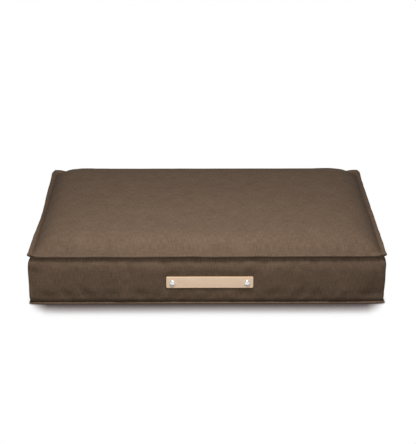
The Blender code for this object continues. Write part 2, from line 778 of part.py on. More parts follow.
def make_core():
    corner = CASE_CORNER - LINER - GAP
    bm = rounded_prism("foam_core", CORE_HALF_X, CORE_HALF_Y, CORE_BOTTOM, CORE_TOP, corner)
    foot = [
        e for e in bm.edges if all(abs(v.co.z - CORE_BOTTOM) < 1e-6 for v in e.verts)
    ]
    bmesh.ops.bevel(bm, geom=foot, offset=CASE_CHAMFER, segments=1, profile=0.5, affect="EDGES")
    add("foam_core", mesh_of(bm, "foam_core"), FOAM)
    # The fibre lies on the foam, and its top is crowned.
    low = CORE_TOP + GAP
    bm = bmesh.new()
    bm.from_mesh(crown_layer("fibre_topper", TOPPER_EDGE_Z, CORE_HALF_X, CORE_HALF_Y))
    under = bmesh.ops.extrude_face_region(bm, geom=list(bm.faces))["geom"]
    for vert in (item for item in under if isinstance(item, bmesh.types.BMVert)):
        vert.co.z = low
    topper = add("fibre_topper", mesh_of(bm, "fibre_topper"), FIBRE)
    trim = rounded_prism(
        "topper_trim", CORE_HALF_X, CORE_HALF_Y, low - 0.001, SEAM_HEIGHT + 2 * CROWN, corner
    )
    boolean(topper, add_cutter("topper_trim", mesh_of(trim, "topper_trim")), "INTERSECT")
    smooth(topper)


def main():
    make_panels()
    front = make_boxing()
    make_rear_boxing()
    make_threads()
    make_zip()
    make_slider()
    make_label(front)
    make_case()
    make_core()


main()
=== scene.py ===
"""A pet cushion bed, sewn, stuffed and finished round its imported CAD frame.

Metres, +Z up. The origin is under the middle of the bed, on the floor. +X runs
along the front to the right, -Y faces the front with its label, +Y the zip.
"""

import math

import bpy
import numpy as np
from bpy.props import FloatProperty, FloatVectorProperty, PointerProperty
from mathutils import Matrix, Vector, noise


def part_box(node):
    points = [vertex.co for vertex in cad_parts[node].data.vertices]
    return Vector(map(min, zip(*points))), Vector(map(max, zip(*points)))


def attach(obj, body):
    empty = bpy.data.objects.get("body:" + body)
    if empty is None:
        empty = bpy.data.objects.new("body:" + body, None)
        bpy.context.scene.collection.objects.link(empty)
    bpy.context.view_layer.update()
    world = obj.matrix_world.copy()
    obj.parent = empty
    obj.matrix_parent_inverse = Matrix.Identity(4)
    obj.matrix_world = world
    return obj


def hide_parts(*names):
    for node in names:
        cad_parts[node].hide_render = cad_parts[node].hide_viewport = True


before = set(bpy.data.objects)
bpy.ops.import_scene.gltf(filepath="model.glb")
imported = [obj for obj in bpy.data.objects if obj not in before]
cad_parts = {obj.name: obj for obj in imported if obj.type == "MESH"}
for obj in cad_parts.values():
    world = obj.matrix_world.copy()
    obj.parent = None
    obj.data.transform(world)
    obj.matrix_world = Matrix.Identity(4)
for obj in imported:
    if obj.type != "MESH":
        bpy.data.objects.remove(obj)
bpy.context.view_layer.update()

bl_info = {
    "name": "Pet Cushion Bed",
    "version": (1, 0, 0),
    "blender": (4, 5, 0),
    "location": "3D View > Sidebar > Cushion Bed",
    "description": "Sews, stuffs and finishes a boxed pet cushion bed",
    "category": "Add Mesh",
}

# Measures taken from the frame.
HEM_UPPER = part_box("rear_boxing_upper")[0].z
HEM_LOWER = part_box("rear_boxing_lower")[1].z
ZIP_Z = (HEM_UPPER + HEM_LOWER) / 2
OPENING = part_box("rear_boxing_upper")[1].x
BOXING_FACE_X = 0.400
BOXING_FACE_Y = 0.300
TOP_KINK = 0.1124  # where the boxing turns out under the top panel
TOP_SEAM = 0.1137  # middle of the top panel's cloth at its seam
FOOT_KINK = 0.0042
BOTTOM_SEAM = 0.0028
ZIP_REST = -0.0008  # how far out the cloth lies beside the zip, where its pull turns over it
PULL_REACH = 0.032  # past the end of the opening
FLAT_CLOTH = 0.0006  # middle of a cloth that lies flat on the floor
CLOTH_STEP = 0.0013  # from the middle of one cloth to the next that is sewn to it
LABEL_X, LABEL_Z = 0.006, 0.054  # the label's middle
FOOT_IN = 0.0026  # how far the bottom seam lies in from the boxing's face
SIDES = ("front", "right", "rear", "left")
HALF = {
    "front": BOXING_FACE_X,
    "rear": BOXING_FACE_X,
    "left": BOXING_FACE_Y,
    "right": BOXING_FACE_Y,
}
# Each side's direction of travel, round the bed from its front left corner, and its outward one.
TRAVEL = {"front": (1, 0), "right": (0, 1), "rear": (-1, 0), "left": (0, -1)}
OUTWARD = {"front": (0, -1), "right": (1, 0), "rear": (0, 1), "left": (-1, 0)}


def added(name, data):
    """A new object in the scene."""
    made = bpy.data.objects.new(name, data)
    bpy.context.scene.collection.objects.link(made)
    return made


# ---------------------------------------------------------------- settings


def length(name, description, default):
    return FloatProperty(
        name=name, description=description, default=default, unit="LENGTH", precision=5
    )


def colour(name, description, default):
    return FloatVectorProperty(
        name=name,
        description=description,
        default=default,
        size=3,
        min=0.0,
        max=1.0,
        subtype="COLOR",
    )


class CushionSizes(bpy.types.PropertyGroup):
    """Sizes of the sewn cover and its fittings."""

    cloth: length("Cloth", "Thickness of the cover's cloth", 0.0012)
    crown: length("Crown", "How far the filled top rises over its seam", 0.0376)
    crown_run: length("Crown run", "How far in from a seam the top goes on rising", 0.122)
    fullness: FloatProperty(
        name="Fullness",
        description="How steeply the top rises beside its seam: 3 is slack, 5 well stuffed",
        default=5.0,
    )
    flange: length("Flange", "How far the sewn edges reach past their seams", 0.0082)
    ear_lift: length("Front ear lift", "How far the front top corners turn up", 0.0050)
    rear_ear_lift: length("Rear ear lift", "How far the rear top corners turn up", 0.0108)
    cell: length("Cloth points", "Spacing of the points that carry the cloth", 0.0075)
    stitch_pitch: length("Stitch pitch", "From one stitch to the next", 0.0062)
    stitch_length: length("Stitch length", "Length of one stitch that shows", 0.0047)
    thread: length("Thread", "Thickness of the sewing thread", 0.0007)
    tooth_pitch: length("Tooth pitch", "From one zip tooth to the next", 0.0024)
    yarn: length("Yarn", "Spacing of the cover cloth's yarns", 0.0012)


class CushionColours(bpy.types.PropertyGroup):
    """Colours of the cloth, leather, metal and filling."""

    cloth_light: colour("Cloth, light yarn", "The paler yarns", (0.122, 0.083, 0.056))
    cloth_dark: colour("Cloth, dark yarn", "The darker yarns", (0.060, 0.0365, 0.0225))
    thread: colour("Sewing thread", "Thread of every seam", (0.030, 0.020, 0.014))
    tape: colour("Zip tape", "Woven tape of the zip", (0.045, 0.032, 0.024))
    teeth: colour("Zip teeth", "Moulded teeth", (0.050, 0.036, 0.027))
    metal: colour("Zip metal", "Slider, pull and stops", (0.34, 0.29, 0.23))
    leather: colour("Leather", "Face of the label", (0.69, 0.535, 0.405))
    leather_edge: colour("Leather edge", "Cut edge of the label", (0.36, 0.22, 0.12))
    rivet: colour("Rivets", "Nickelled rivet caps", (0.86, 0.86, 0.86))
    lining: colour("Lining", "Cloth of the inner case", (0.70, 0.67, 0.60))
    foam: colour("Foam", "Foam core", (0.78, 0.70, 0.46))
    fibre: colour("Fibre", "Fibre topper", (0.80, 0.79, 0.76))


class CushionStudio(bpy.types.PropertyGroup):
    """Light on the bed."""

    key: FloatProperty(name="Overhead light", description="Its power in watts", default=14.5)
    front: FloatProperty(name="Front light", description="Its power in watts", default=5.5)
    fill: FloatProperty(name="Fill", description="Even light of the room", default=0.40)


# ---------------------------------------------------------------- shape of the filled cover

SHAPE = {}


def eased(x):
    x = np.clip(x, 0.0, 1.0)
    return x * x * (3 - 2 * x)


def near(x, width):
    """1 at x = 0, falling smoothly to nothing past about two widths."""
    return np.exp(-((x / width) ** 2))


def ripple(values, scale, seed):
    """Smooth chance variation along a line, about -1 to 1."""
    values = np.asarray(values, float)
    found = [noise.noise(Vector((v / scale, seed * 7.31, seed * 2.17))) for v in values.ravel()]
    return np.array(found).reshape(values.shape)


def through(x, knots, values):
    """A smooth curve through a few knots."""
    knots, values = np.asarray(knots, float), np.asarray(values, float)
    slope = np.gradient(values, knots)
    x = np.clip(x, knots[0], knots[-1])
    i = np.clip(np.searchsorted(knots, x, side="right") - 1, 0, len(knots) - 2)
    step = knots[i + 1] - knots[i]
    h = (x - knots[i]) / step
    return (
        values[i] * (1 + 2 * h) * (1 - h) ** 2
        + slope[i] * step * h * (1 - h) ** 2
        + values[i + 1] * h * h * (3 - 2 * h)
        + slope[i + 1] * step * h * h * (h - 1)
    )


HEIGHTS = (FOOT_KINK, 0.0090, 0.026, 0.050, 0.074, 0.092, 0.104, 0.1124)
FRONT_SWELL = (-0.0028, 0.0020, 0.0028, 0.0031, 0.0034, 0.0030, 0.0008, -0.0022)
CORNER_SWELL = (-0.0026, 0.0008, 0.0033, 0.0041, 0.0041, 0.0038, 0.0026, -0.0012)
ZIP_HEIGHTS = (FOOT_KINK, 0.018, 0.036, 0.0535, 0.0665, 0.084, 0.100, 0.1124)
ZIP_SWELL = (-0.0026, 0.0008, 0.0012, -0.0006, -0.0006, 0.0016, 0.0010, -0.0018)


def corner_swell(side, end, z):
    """How far a corner stands out at height z: end is -1 where the side starts, 1 at its end."""
    swell = through(z, HEIGHTS, CORNER_SWELL)
    if (side, end) in (("front", 1), ("right", -1)):
        swell = swell - 0.0030 * near(z - 0.024, 0.017)
    return swell


def seam_out(side, t):
    """Where the top seam lies, out from the boxing's face."""
    out = -0.0022 + 0.0005 * ripple(t, 0.045, SIDES.index(side) + 1)
    if side == "left":
        out = out - 0.0012 * near(t - 0.02, 0.14)
    return out


def flange_reach(side, t):
    """How far the top flange reaches past its seam."""
    flange = bpy.context.scene.cushion_sizes.flange
    reach = flange + 0.0007 * ripple(t, 0.030, SIDES.index(side) + 11)
    if side == "left":
        reach = reach - 0.0040 * near(t - 0.02, 0.13)
    return reach


def foot_reach(side, t):
    """How far the bottom flange reaches past its seam."""
    flange = bpy.context.scene.cushion_sizes.flange
    return flange - 0.0006 + 0.0006 * ripple(t, 0.035, 91 + SIDES.index(side))


def flange_rise(side, t):
    rise = 0.0033 + 0.0008 * ripple(t, 0.038, SIDES.index(side) + 21)
    if side == "left":
        rise = rise + 0.0022 * near(t - 0.02, 0.13)
    if side == "front":
        rise = rise + 0.0006 * t / BOXING_FACE_X
    return rise


def placed(side, along, out, z):
    """Points of a side in the bed's frame."""
    (tx, ty), (nx, ny) = TRAVEL[side], OUTWARD[side]
    out = out + (BOXING_FACE_Y if side in ("front", "rear") else BOXING_FACE_X)
    along, out, z = np.broadcast_arrays(along, out, z)
    return np.stack([tx * along + nx * out, ty * along + ny * out, z], axis=-1)


def beside(side, end):
    """The side that this one meets at an end, and where along that side they meet."""
    neighbour = SIDES[(SIDES.index(side) + end) % 4]
    return neighbour, -end * HALF[neighbour]


def at_rear(side, end):
    return side == "rear" or (side, end) in (("right", 1), ("left", -1))


def corner_cut(side, end):
    """The share of the flange's reach that a corner's rounding takes off."""
    return 0.30 if at_rear(side, end) else 0.10


def ear(side, t, r):
    """How far the flange turns up near a corner."""
    half = HALF[side]
    sizes = bpy.context.scene.cushion_sizes
    lift = 0.0
    for end in (-1, 1):
        away = half + 0.004 - end * t
        if at_rear(side, end):
            lift = lift + sizes.rear_ear_lift * near(away, 0.038) * (0.5 + 0.5 * r)
        else:
            lift = lift + sizes.ear_lift * near(away, 0.013) * r
    return lift


def settled(points):
    """Draws the two rear top corners in, so that they are rounded."""
    x, y, z = points[..., 0], points[..., 1], points[..., 2]
    q = np.hypot(BOXING_FACE_X + 0.003 - np.abs(x), BOXING_FACE_Y + 0.003 - y)
    pull = 0.0036 * near(q, 0.015) * eased((z - 0.050) / 0.055)
    return np.stack([x - np.sign(x) * pull, y - pull, z], axis=-1)


def crown(x, y):
    """Height of the filled top over its seam."""
    sizes = bpy.context.scene.cushion_sizes
    rise = 1.0
    for p, half in ((x, BOXING_FACE_X), (y, BOXING_FACE_Y)):
        d = np.clip((half - 0.0022 - np.abs(p)) / sizes.crown_run, 0.0, 1.0)
        rise = rise * (1 - (1 - d) ** sizes.fullness)
    return sizes.crown * rise


def blurred(field, cells, round_first):
    """A field with everything finer than about this many cells smoothed away."""
    reach = int(3 * cells)
    kernel = np.exp(-0.5 * (np.arange(-reach, reach + 1) / cells) ** 2)
    kernel /= kernel.sum()
    for axis in (0, 1):
        pads = [(0, 0), (0, 0)]
        pads[axis] = (reach, reach)
        mode = "wrap" if axis == 0 and round_first else "reflect"
        wide = np.pad(field, pads, mode=mode, **({} if mode == "wrap" else {"reflect_type": "odd"}))
        field = np.apply_along_axis(lambda row: np.convolve(row, kernel, "valid"), axis, wide)
    return field


def filling_pushes():
    """The wrinkles of the cover: cloth cut a little large, held along its seams, with the
    filling pushing out. Gives (top, boxing) fields of how far the cloth moves out."""
    cell = 0.008
    nx, ny = round(2 * BOXING_FACE_X / cell), round(2 * BOXING_FACE_Y / cell)
    nz = 13
    xs = np.linspace(-BOXING_FACE_X, BOXING_FACE_X, nx + 1)
    ys = np.linspace(-BOXING_FACE_Y, BOXING_FACE_Y, ny + 1)
    gx, gy = np.meshgrid(xs, ys, indexing="ij")
    top = np.stack([gx, gy, TOP_SEAM + crown(gx, gy)], axis=-1).reshape(-1, 3)
    number = np.arange((nx + 1) * (ny + 1)).reshape(nx + 1, ny + 1)
    ring = np.concatenate([number[:-1, 0], number[-1, :-1], number[:0:-1, -1], number[0, :0:-1]])
    around = len(ring)
    heights = np.linspace(TOP_SEAM, FOOT_KINK, nz + 1)
    outward = []
    for side, steps in (("front", nx), ("right", ny), ("rear", nx), ("left", ny)):
        outward += [OUTWARD[side]] * steps
    outward = np.array(outward, float)
    rows = []
    for z in heights[1:]:
        row = top[ring].copy()
        swell = float(through(z, HEIGHTS, CORNER_SWELL))
        row[:, :2] += outward * swell
        row[:, 2] = z
        rows.append(row)
    points = np.concatenate([top, *rows])
    wall = np.concatenate([ring[None], len(top) + np.arange(nz * around).reshape(nz, around)])
    faces = [
        (number[i, j], number[i + 1, j], number[i + 1, j + 1], number[i, j + 1])
        for i in range(nx)
        for j in range(ny)
    ]
    faces += [
        (wall[k, c], wall[k + 1, c], wall[k + 1, (c + 1) % around], wall[k, (c + 1) % around])
        for k in range(nz)
        for c in range(around)
    ]
    mesh = bpy.data.meshes.new("filling")
    mesh.from_pydata(points.tolist(), [], [tuple(int(v) for v in f) for f in faces])
    body = added("filling", mesh)
    held = body.vertex_groups.new(name="seams")
    held.add([int(v) for v in wall[0]] + [int(v) for v in wall[-1]], 1.0, "REPLACE")
    corners = [0, nx, nx + ny, 2 * nx + ny]
    held.add([int(v) for v in wall[1:-1, corners].ravel()], 0.5, "REPLACE")
    cloth = body.modifiers.new("filling", "CLOTH")
    settings = cloth.settings
    settings.quality = 6
    settings.mass = 0.25
    settings.tension_stiffness = settings.compression_stiffness = 25
    settings.shear_stiffness = 8
    settings.bending_stiffness = 0.25
    settings.use_pressure = True
    settings.uniform_pressure_force = 4.0
    settings.shrink_min = -0.022
    settings.vertex_group_mass = "seams"
    settings.effector_weights.gravity = 0.0
    cloth.collision_settings.use_collision = False
    cloth.collision_settings.use_self_collision = False
    cloth.point_cache.frame_start, cloth.point_cache.frame_end = 1, 20
    for step in range(1, 21):
        bpy.context.scene.frame_set(step)
    shown = body.evaluated_get(bpy.context.evaluated_depsgraph_get()).to_mesh()
    moved = np.empty(len(points) * 3, np.float32)
    shown.vertices.foreach_get("co", moved)
    moved = moved.reshape(-1, 3) - points
    bpy.data.objects.remove(body)
    bpy.data.meshes.remove(mesh)
    bpy.context.scene.frame_set(1)
    flat = moved[: len(top), 2].reshape(nx + 1, ny + 1)
    sides = (moved[wall][:, :, :2] * outward[None]).sum(axis=-1).T
    flat = flat - blurred(flat, 6.0, False)
    sides = sides - blurred(sides, 6.0, True)
    return flat, sides


def wrinkles():
    if "wrinkles" not in SHAPE:
        SHAPE["wrinkles"] = filling_pushes()
    return SHAPE["wrinkles"]


def read_field(field, u, v, round_first=False):
    """A field at fractions u and v of its first and second axis."""
    rows, columns = field.shape
    u = np.asarray(u) * (rows if round_first else rows - 1)
    v = np.clip(np.asarray(v) * (columns - 1), 0, columns - 1.0001)
    u = u % rows if round_first else np.clip(u, 0, rows - 1.0001)
    i, j = np.floor(u).astype(int), np.floor(v).astype(int)
    a, b = u - i, v - j
    n = (i + 1) % rows
    return (
        field[i, j] * (1 - a) * (1 - b)
        + field[n, j] * a * (1 - b)
        + field[i, j + 1] * (1 - a) * b
        + field[n, j + 1] * a * b
    )


def top_wrinkle(x, y):
    flat, _ = wrinkles()
    deep = read_field(flat, (x / BOXING_FACE_X + 1) / 2, (y / BOXING_FACE_Y + 1) / 2)
    inner = np.minimum(BOXING_FACE_X - np.abs(x), BOXING_FACE_Y - np.abs(y))
    return np.clip(0.3 * deep, -0.0012, 0.0025) * eased(inner / 0.012)


def side_wrinkle(side, t, z):
    _, sides = wrinkles()
    start = {"front": 0.0, "right": 0.8, "rear": 1.4, "left": 2.2}[side]
    u = (start + t + HALF[side]) / 2.8
    v = (TOP_SEAM - z) / (TOP_SEAM - FOOT_KINK)
    deep = read_field(sides, u % 1.0, v, True)
    ends = np.minimum(z - FOOT_KINK, TOP_KINK - z)
    return np.clip(0.9 * deep, -0.0016, 0.0025) * eased(ends / 0.010)


def pucker(t, away, seed):
    """Small gathers that a line of stitches draws into the cloth beside it."""
    t, away = np.broadcast_arrays(t, away)
    wide = ripple(t, 0.011, seed) * near(away - 0.004, 0.008)
    long = ripple(t + 0.4 * away, 0.026, seed + 3) * near(away - 0.010, 0.020)
    broad = ripple(t, 0.055, seed + 7) * near(away - 0.014, 0.020)
    return 0.00045 * wide + 0.0008 * long + 0.0014 * broad


def boxing_out(side, t, z):
    """How far a filled side stands out, at t along it and at height z."""
    half = HALF[side]
    left, right = t + half, half - t
    if side == "rear":
        flat = through(z, ZIP_HEIGHTS, ZIP_SWELL)
        past = eased((np.abs(t) - OPENING) / 0.03)
        flat = flat + (through(z, HEIGHTS, FRONT_SWELL) - flat) * past
    else:
        flat = through(z, HEIGHTS, FRONT_SWELL)
        flat = flat * (1 + 0.25 * ripple(t, 0.16, SIDES.index(side) + 31))
    first = eased(1 - left / 0.07)
    last = eased(1 - right / 0.07)
    out = (
        flat * (1 - first - last)
        + corner_swell(side, -1, z) * first
        + corner_swell(side, 1, z) * last
    )
    calm = 1.0
    if side == "rear":
        calm = eased((np.abs(z - ZIP_Z) - 0.008) / 0.014)
        calm = np.maximum(calm, eased((np.abs(t) - OPENING - PULL_REACH) / 0.02))
        out = ZIP_REST + (out - ZIP_REST) * calm
    if side == "front":
        gap_x = np.maximum(np.abs(t - LABEL_X) - 0.0985, 0)
        gap_z = np.maximum(np.abs(z - LABEL_Z) - 0.0135, 0)
        calm = eased(np.hypot(gap_x, gap_z) / 0.02)
    out = out + calm * side_wrinkle(side, t, z)
    for away, seed in ((TOP_KINK - z, 41), (z - FOOT_KINK, 51)):
        out = out + calm * pucker(t, away, seed + SIDES.index(side)) * eased(away / 0.003)
    corner = near(np.minimum(left, right) - 0.006, 0.010)
    out = out + 0.0007 * ripple(z, 0.013, 61 + SIDES.index(side)) * corner * calm
    return np.maximum(out, -0.0030)


def spaced(half, step, fine=(0.0, 0.0012, 0.0035, 0.008, 0.015)):
    """Places from -half to half, close together near both ends."""
    count = max(2, round((2 * half - 2 * fine[-1]) / step))
    middle = np.linspace(-half + fine[-1], half - fine[-1], count + 1)
    ends = np.array(fine[:-1])
    return np.concatenate([-half + ends, middle, (half - ends)[::-1]])


# ---------------------------------------------------------------- meshes


def new_piece(name, points, faces, smooth=True):
    """A visible piece that rides on the cushion."""
    mesh = bpy.data.meshes.new(name)
    mesh.from_pydata(np.asarray(points, float).tolist(), [], faces)
    mesh.validate()
    mesh.polygons.foreach_set("use_smooth", [smooth] * len(mesh.polygons))
    piece = added(name, mesh)
    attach(piece, "cushion")
    return piece


def sheet_mesh(grid, thickness):
    """Points and faces of a closed sheet of cloth round a grid of points (rows, columns, 3)."""
    rows, columns = grid.shape[:2]
    down, across = np.gradient(grid, axis=0), np.gradient(grid, axis=1)
    normal = np.cross(across, down)
    normal /= np.maximum(np.linalg.norm(normal, axis=-1, keepdims=True), 1e-12)
    half = normal * thickness / 2
    points = np.concatenate([(grid + half).reshape(-1, 3), (grid - half).reshape(-1, 3)])
    n = rows * columns
    number = np.arange(n).reshape(rows, columns)
    corners = (number[:-1, :-1], number[:-1, 1:], number[1:, 1:], number[1:, :-1])
    a, b, c, d = (q.ravel() for q in corners)
    faces = np.concatenate([np.stack([d, c, b, a], 1), np.stack([a, b, c, d], 1) + n])
    edge = np.concatenate([number[0, :-1], number[:-1, -1], number[-1, :0:-1], number[:0:-1, 0]])
    following = np.roll(edge, -1)
    rim = np.stack([edge, following, following + n, edge + n], 1)
    faces = np.concatenate([faces, rim])
    return points, [tuple(int(v) for v in f[::-1]) for f in faces]


def cloth_piece(name, grid, thickness, levels=1):
    """A closed sheet of cloth round a grid of points, smoothed by subdivision."""
    piece = new_piece(name, *sheet_mesh(grid, thickness))
    smoothing = piece.modifiers.new("soft edges", "SUBSURF")
    smoothing.levels = smoothing.render_levels = levels
    return piece


def bands(rings, n, base=0):
    """Faces between rings of n points each, which are numbered in order from base."""
    faces = []
    for low in range(base, base + (rings - 1) * n, n):
        for s in range(n):
            e = (s + 1) % n
            faces.append((low + s, low + e, low + n + e, low + n + s))
    return faces


def capsule_chain(paths, radius, around=6):
    """Points and faces of many short rounded threads. Each path is an array of points."""
    points, faces = [], []
    for path in paths:
        ahead = np.gradient(path, axis=0)
        ahead /= np.linalg.norm(ahead, axis=1, keepdims=True)
        side = np.cross(ahead, (0.13, 0.31, 0.94))
        bad = np.linalg.norm(side, axis=1) < 0.2
        side[bad] = np.cross(ahead[bad], (0.9, 0.3, 0.1))
        side /= np.linalg.norm(side, axis=1, keepdims=True)
        other = np.cross(ahead, side)
        base = sum(len(p) for p in points)
        count = len(path)
        width = radius * np.sqrt(np.clip(1 - np.linspace(-0.86, 0.86, count) ** 8, 0.05, 1))
        turn = np.arange(around) * 2 * math.pi / around
        loops = (
            path[:, None]
            + side[:, None] * (np.cos(turn)[None, :, None] * width[:, None, None])
            + other[:, None] * (np.sin(turn)[None, :, None] * width[:, None, None])
        )
        points.append(loops.reshape(-1, 3))
        faces += bands(count, around, base)
        last = base + (count - 1) * around
        faces += [tuple(range(base, base + around))[::-1], tuple(range(last, last + around))]
    return np.concatenate(points), faces


def stitched(name, line, lean, node, pitch=None, reach=None, thick=1.0):
    """A row of real stitches along a line of points, each bowed a little along lean."""
    sizes = bpy.context.scene.cushion_sizes
    pitch = pitch or sizes.stitch_pitch
    reach = reach or sizes.stitch_length
    line = np.asarray(line, float)
    run = np.concatenate([[0], np.cumsum(np.linalg.norm(np.diff(line, axis=0), axis=1))])
    lean = np.broadcast_to(np.asarray(lean, float), line.shape)

    def at(s):
        return (
            np.stack([np.interp(s, run, line[:, k]) for k in range(3)], -1),
            np.stack([np.interp(s, run, lean[:, k]) for k in range(3)], -1),
        )

    count = max(1, int(run[-1] / pitch))
    pitch = run[-1] / count
    paths = []
    for i in range(count):
        middle = (i + 0.5) * pitch
        s = middle + np.linspace(-0.5, 0.5, 7) * reach
        place, up = at(s)
        bow = np.cos(np.linspace(-1, 1, 7) * math.pi / 2) ** 0.6
        paths.append(place + up * ((bow - 0.75) * sizes.thread * 0.9)[:, None])
    points, faces = capsule_chain(paths, sizes.thread * thick / 2)
    stands_in(new_piece(name, points, faces), node, "sewing_thread")


# ---------------------------------------------------------------- shader expressions


def worked(operation, turned=False):
    def work(self, *others):
        values = (*others, self) if turned else (self, *others)
        return self.bench.node("ShaderNodeMath", {"operation": operation}, values)

    return work


class Reading:
    """A number read from a shader socket, which works in an expression."""

    def __init__(self, bench, socket):
        self.bench, self.socket = bench, socket

    __add__, __radd__ = worked("ADD"), worked("ADD", True)
    __sub__, __rsub__ = worked("SUBTRACT"), worked("SUBTRACT", True)
    __mul__, __rmul__ = worked("MULTIPLY"), worked("MULTIPLY", True)
    __truediv__, __rtruediv__ = worked("DIVIDE"), worked("DIVIDE", True)
    cosine, size, power = worked("COSINE"), worked("ABSOLUTE"), worked("POWER")
    above, below = worked("MAXIMUM"), worked("MINIMUM")


class Bench:
    """Where one finish is mixed."""

    def __init__(self, name):
        self.material = bpy.data.materials.new(name)
        self.material.use_nodes = True
        self.tree = self.material.node_tree
        self.shader = self.tree.nodes["Principled BSDF"]

    def node(self, kind, settings=None, inputs=(), output=0):
        """One node: its settings first, then its sockets' values or links."""
        made = self.tree.nodes.new(kind)
        for key, value in (settings or {}).items():
            if key == "stops":
                for i, (place, shade) in enumerate(value):
                    stops = made.color_ramp.elements
                    stop = stops[i] if i < len(stops) else stops.new(place)
                    stop.position, stop.color = place, (*shade, 1.0)
            else:
                setattr(made, key, value)
        pairs = inputs.items() if isinstance(inputs, dict) else enumerate(inputs)
        for key, value in pairs:
            self.fill(made.inputs[key], value)
        return Reading(self, made.outputs[output])

    def fill(self, socket, value):
        if isinstance(value, Reading):
            self.tree.links.new(value.socket, socket)
        else:
            socket.default_value = value

    def place(self):
        """x, y and z on the object."""
        spot = self.node("ShaderNodeTexCoord", output="Object")
        split = self.node("ShaderNodeSeparateXYZ", inputs=[spot]).socket.node
        return tuple(Reading(self, split.outputs[k]) for k in range(3))

    def point(self, x, y, z=0.0):
        return self.node("ShaderNodeCombineXYZ", inputs=[x, y, z])

    def speckle(self, x, y, z=0.0, detail=2.0, rough=0.5):
        """Chance variation from 0 to 1 over a point."""
        return self.node(
            "ShaderNodeTexNoise",
            {"noise_dimensions": "3D"},
            {"Vector": self.point(x, y, z), "Scale": 1.0, "Detail": detail, "Roughness": rough},
        )

    def grain(self, scales, detail=2.0, rough=0.5):
        """Chance variation over the object, finer along an axis with a larger scale."""
        spots = (p * scale for p, scale in zip(self.place(), scales))
        return self.speckle(*spots, detail, rough)

    def cells(self, x, y, z):
        """Distance from the nearest of many points strewn by chance."""
        vector = self.point(x, y, z)
        inputs = {"Vector": vector, "Scale": 1.0}
        return self.node("ShaderNodeTexVoronoi", {"feature": "F1"}, inputs)

    def blend(self, factor, first, second):
        """One colour fading into another."""
        made = self.tree.nodes.new("ShaderNodeMix")
        made.data_type = "RGBA"
        for k, value in ((0, factor), (6, first), (7, second)):
            if not isinstance(value, (Reading, float, int)):
                value = (*value, 1.0)
            self.fill(made.inputs[k], value)
        return Reading(self, made.outputs[2])

    def finished(self, height=None, distance=0.0002, strength=1.0, **sockets):
        """Sets the shader's sockets, by their names with _ for spaces, and a bump from height."""
        for key, value in sockets.items():
            if isinstance(value, tuple):
                value = (*value, 1.0)
            self.fill(self.shader.inputs[key.replace("_", " ")], value)
        if height is not None:
            bump = self.node(
                "ShaderNodeBump", {}, {"Strength": strength, "Distance": distance, "Height": height}
            )
            self.fill(self.shader.inputs["Normal"], bump)
        return self.material


def woven(name, first, second, light, dark, yarn, slubs=1.0):
    """Plain-woven cloth. first and second pick the object axes that its yarns follow."""
    bench = Bench(name)
    axes = bench.place()
    a, b = axes[first], axes[second]
    turn = 2 * math.pi
    warp = (a * (turn / yarn)).cosine()
    weft = (b * (turn / (yarn * 1.15))).cosine()
    crossing = warp * weft
    runs = bench.speckle(a * 760, b * 62, 0.0, 2.0)
    picks = bench.speckle(a * 70, b * 620, 3.7, 2.0)
    heather = bench.speckle(a * 900, b * 620, 9.1, 1.0)
    patches = bench.speckle(a * 30, b * 24, 5.0, 3.0)
    tone = (
        0.5
        + (runs - 0.5) * (1.5 * slubs)
        + (picks - 0.5) * (0.7 * slubs)
        + (heather - 0.5) * 0.9
        + (patches - 0.5) * 0.45
        + crossing * 0.10
        + warp * 0.10
    )
    colour_here = bench.blend(tone.above(0.0).below(1.0), tuple(dark), tuple(light))
    height = warp * 0.35 + weft * 0.2 + crossing * 0.35 + (runs - 0.5) * 0.9 + (picks - 0.5) * 0.5
    return bench.finished(
        height,
        distance=0.00022,
        strength=0.7,
        Base_Color=colour_here,
        Roughness=0.86 + (heather - 0.5) * 0.12,
        Specular_IOR_Level=0.10,
    )


FINISHES = {}


def colours():
    return bpy.context.scene.cushion_colours


def cover_finish(first, second, name):
    light, dark = colours().cloth_light, colours().cloth_dark
    return woven(name, first, second, light, dark, bpy.context.scene.cushion_sizes.yarn)


def thread_finish():
    bench = Bench("waxed sewing thread")
    x, y, z = bench.place()
    twist = ((x + y + z) * 5200).cosine()
    tint = bench.grain((300, 300, 300))
    base = tuple(colours().thread)
    pale = tuple(min(1.0, v * 1.9) for v in base)
    return bench.finished(
        twist, 0.00006, 0.6, Base_Color=bench.blend(tint, base, pale), Roughness=0.6 + tint * 0.15
    )


def tape_finish():
    bench = Bench("twill zip tape")
    x, y, z = bench.place()
    twill = ((x + z) * (2 * math.pi / 0.0011)).cosine()
    tint = bench.grain((700, 700, 700))
    base = tuple(colours().tape)
    pale = tuple(v * 1.7 for v in base)
    return bench.finished(
        twill + tint * 0.5,
        0.00012,
        0.7,
        Base_Color=bench.blend((twill * 0.3 + tint).above(0.0).below(1.0), base, pale),
        Roughness=0.8 + tint * 0.1,
    )


def grained(name, base, scales, detail, rough, bump, lighter, roughness):
    """A plain surface with one grain, which also tints it."""
    bench = Bench(name)
    grain = bench.grain(scales, detail, rough)
    pale = tuple(min(1.0, v * lighter) for v in base)
    shade = bench.blend(grain, tuple(base), pale)
    return bench.finished(grain, *bump, Base_Color=shade, Roughness=roughness + grain * 0.15)


def metal_finish(name, base, brushed, roughness):
    bench = Bench(name)
    lines = bench.grain((60, 900, 900 if brushed else 60), 3.0)
    worn = bench.grain((140, 140, 140), 4.0, 0.6)
    return bench.finished(
        lines * 0.6 + worn * 0.4,
        0.00002,
        0.35,
        Base_Color=bench.blend(worn, tuple(v * 0.82 for v in base), tuple(base)),
        Metallic=1.0,
        Roughness=roughness + (lines - 0.5) * 0.12 + (worn - 0.5) * 0.1,
    )


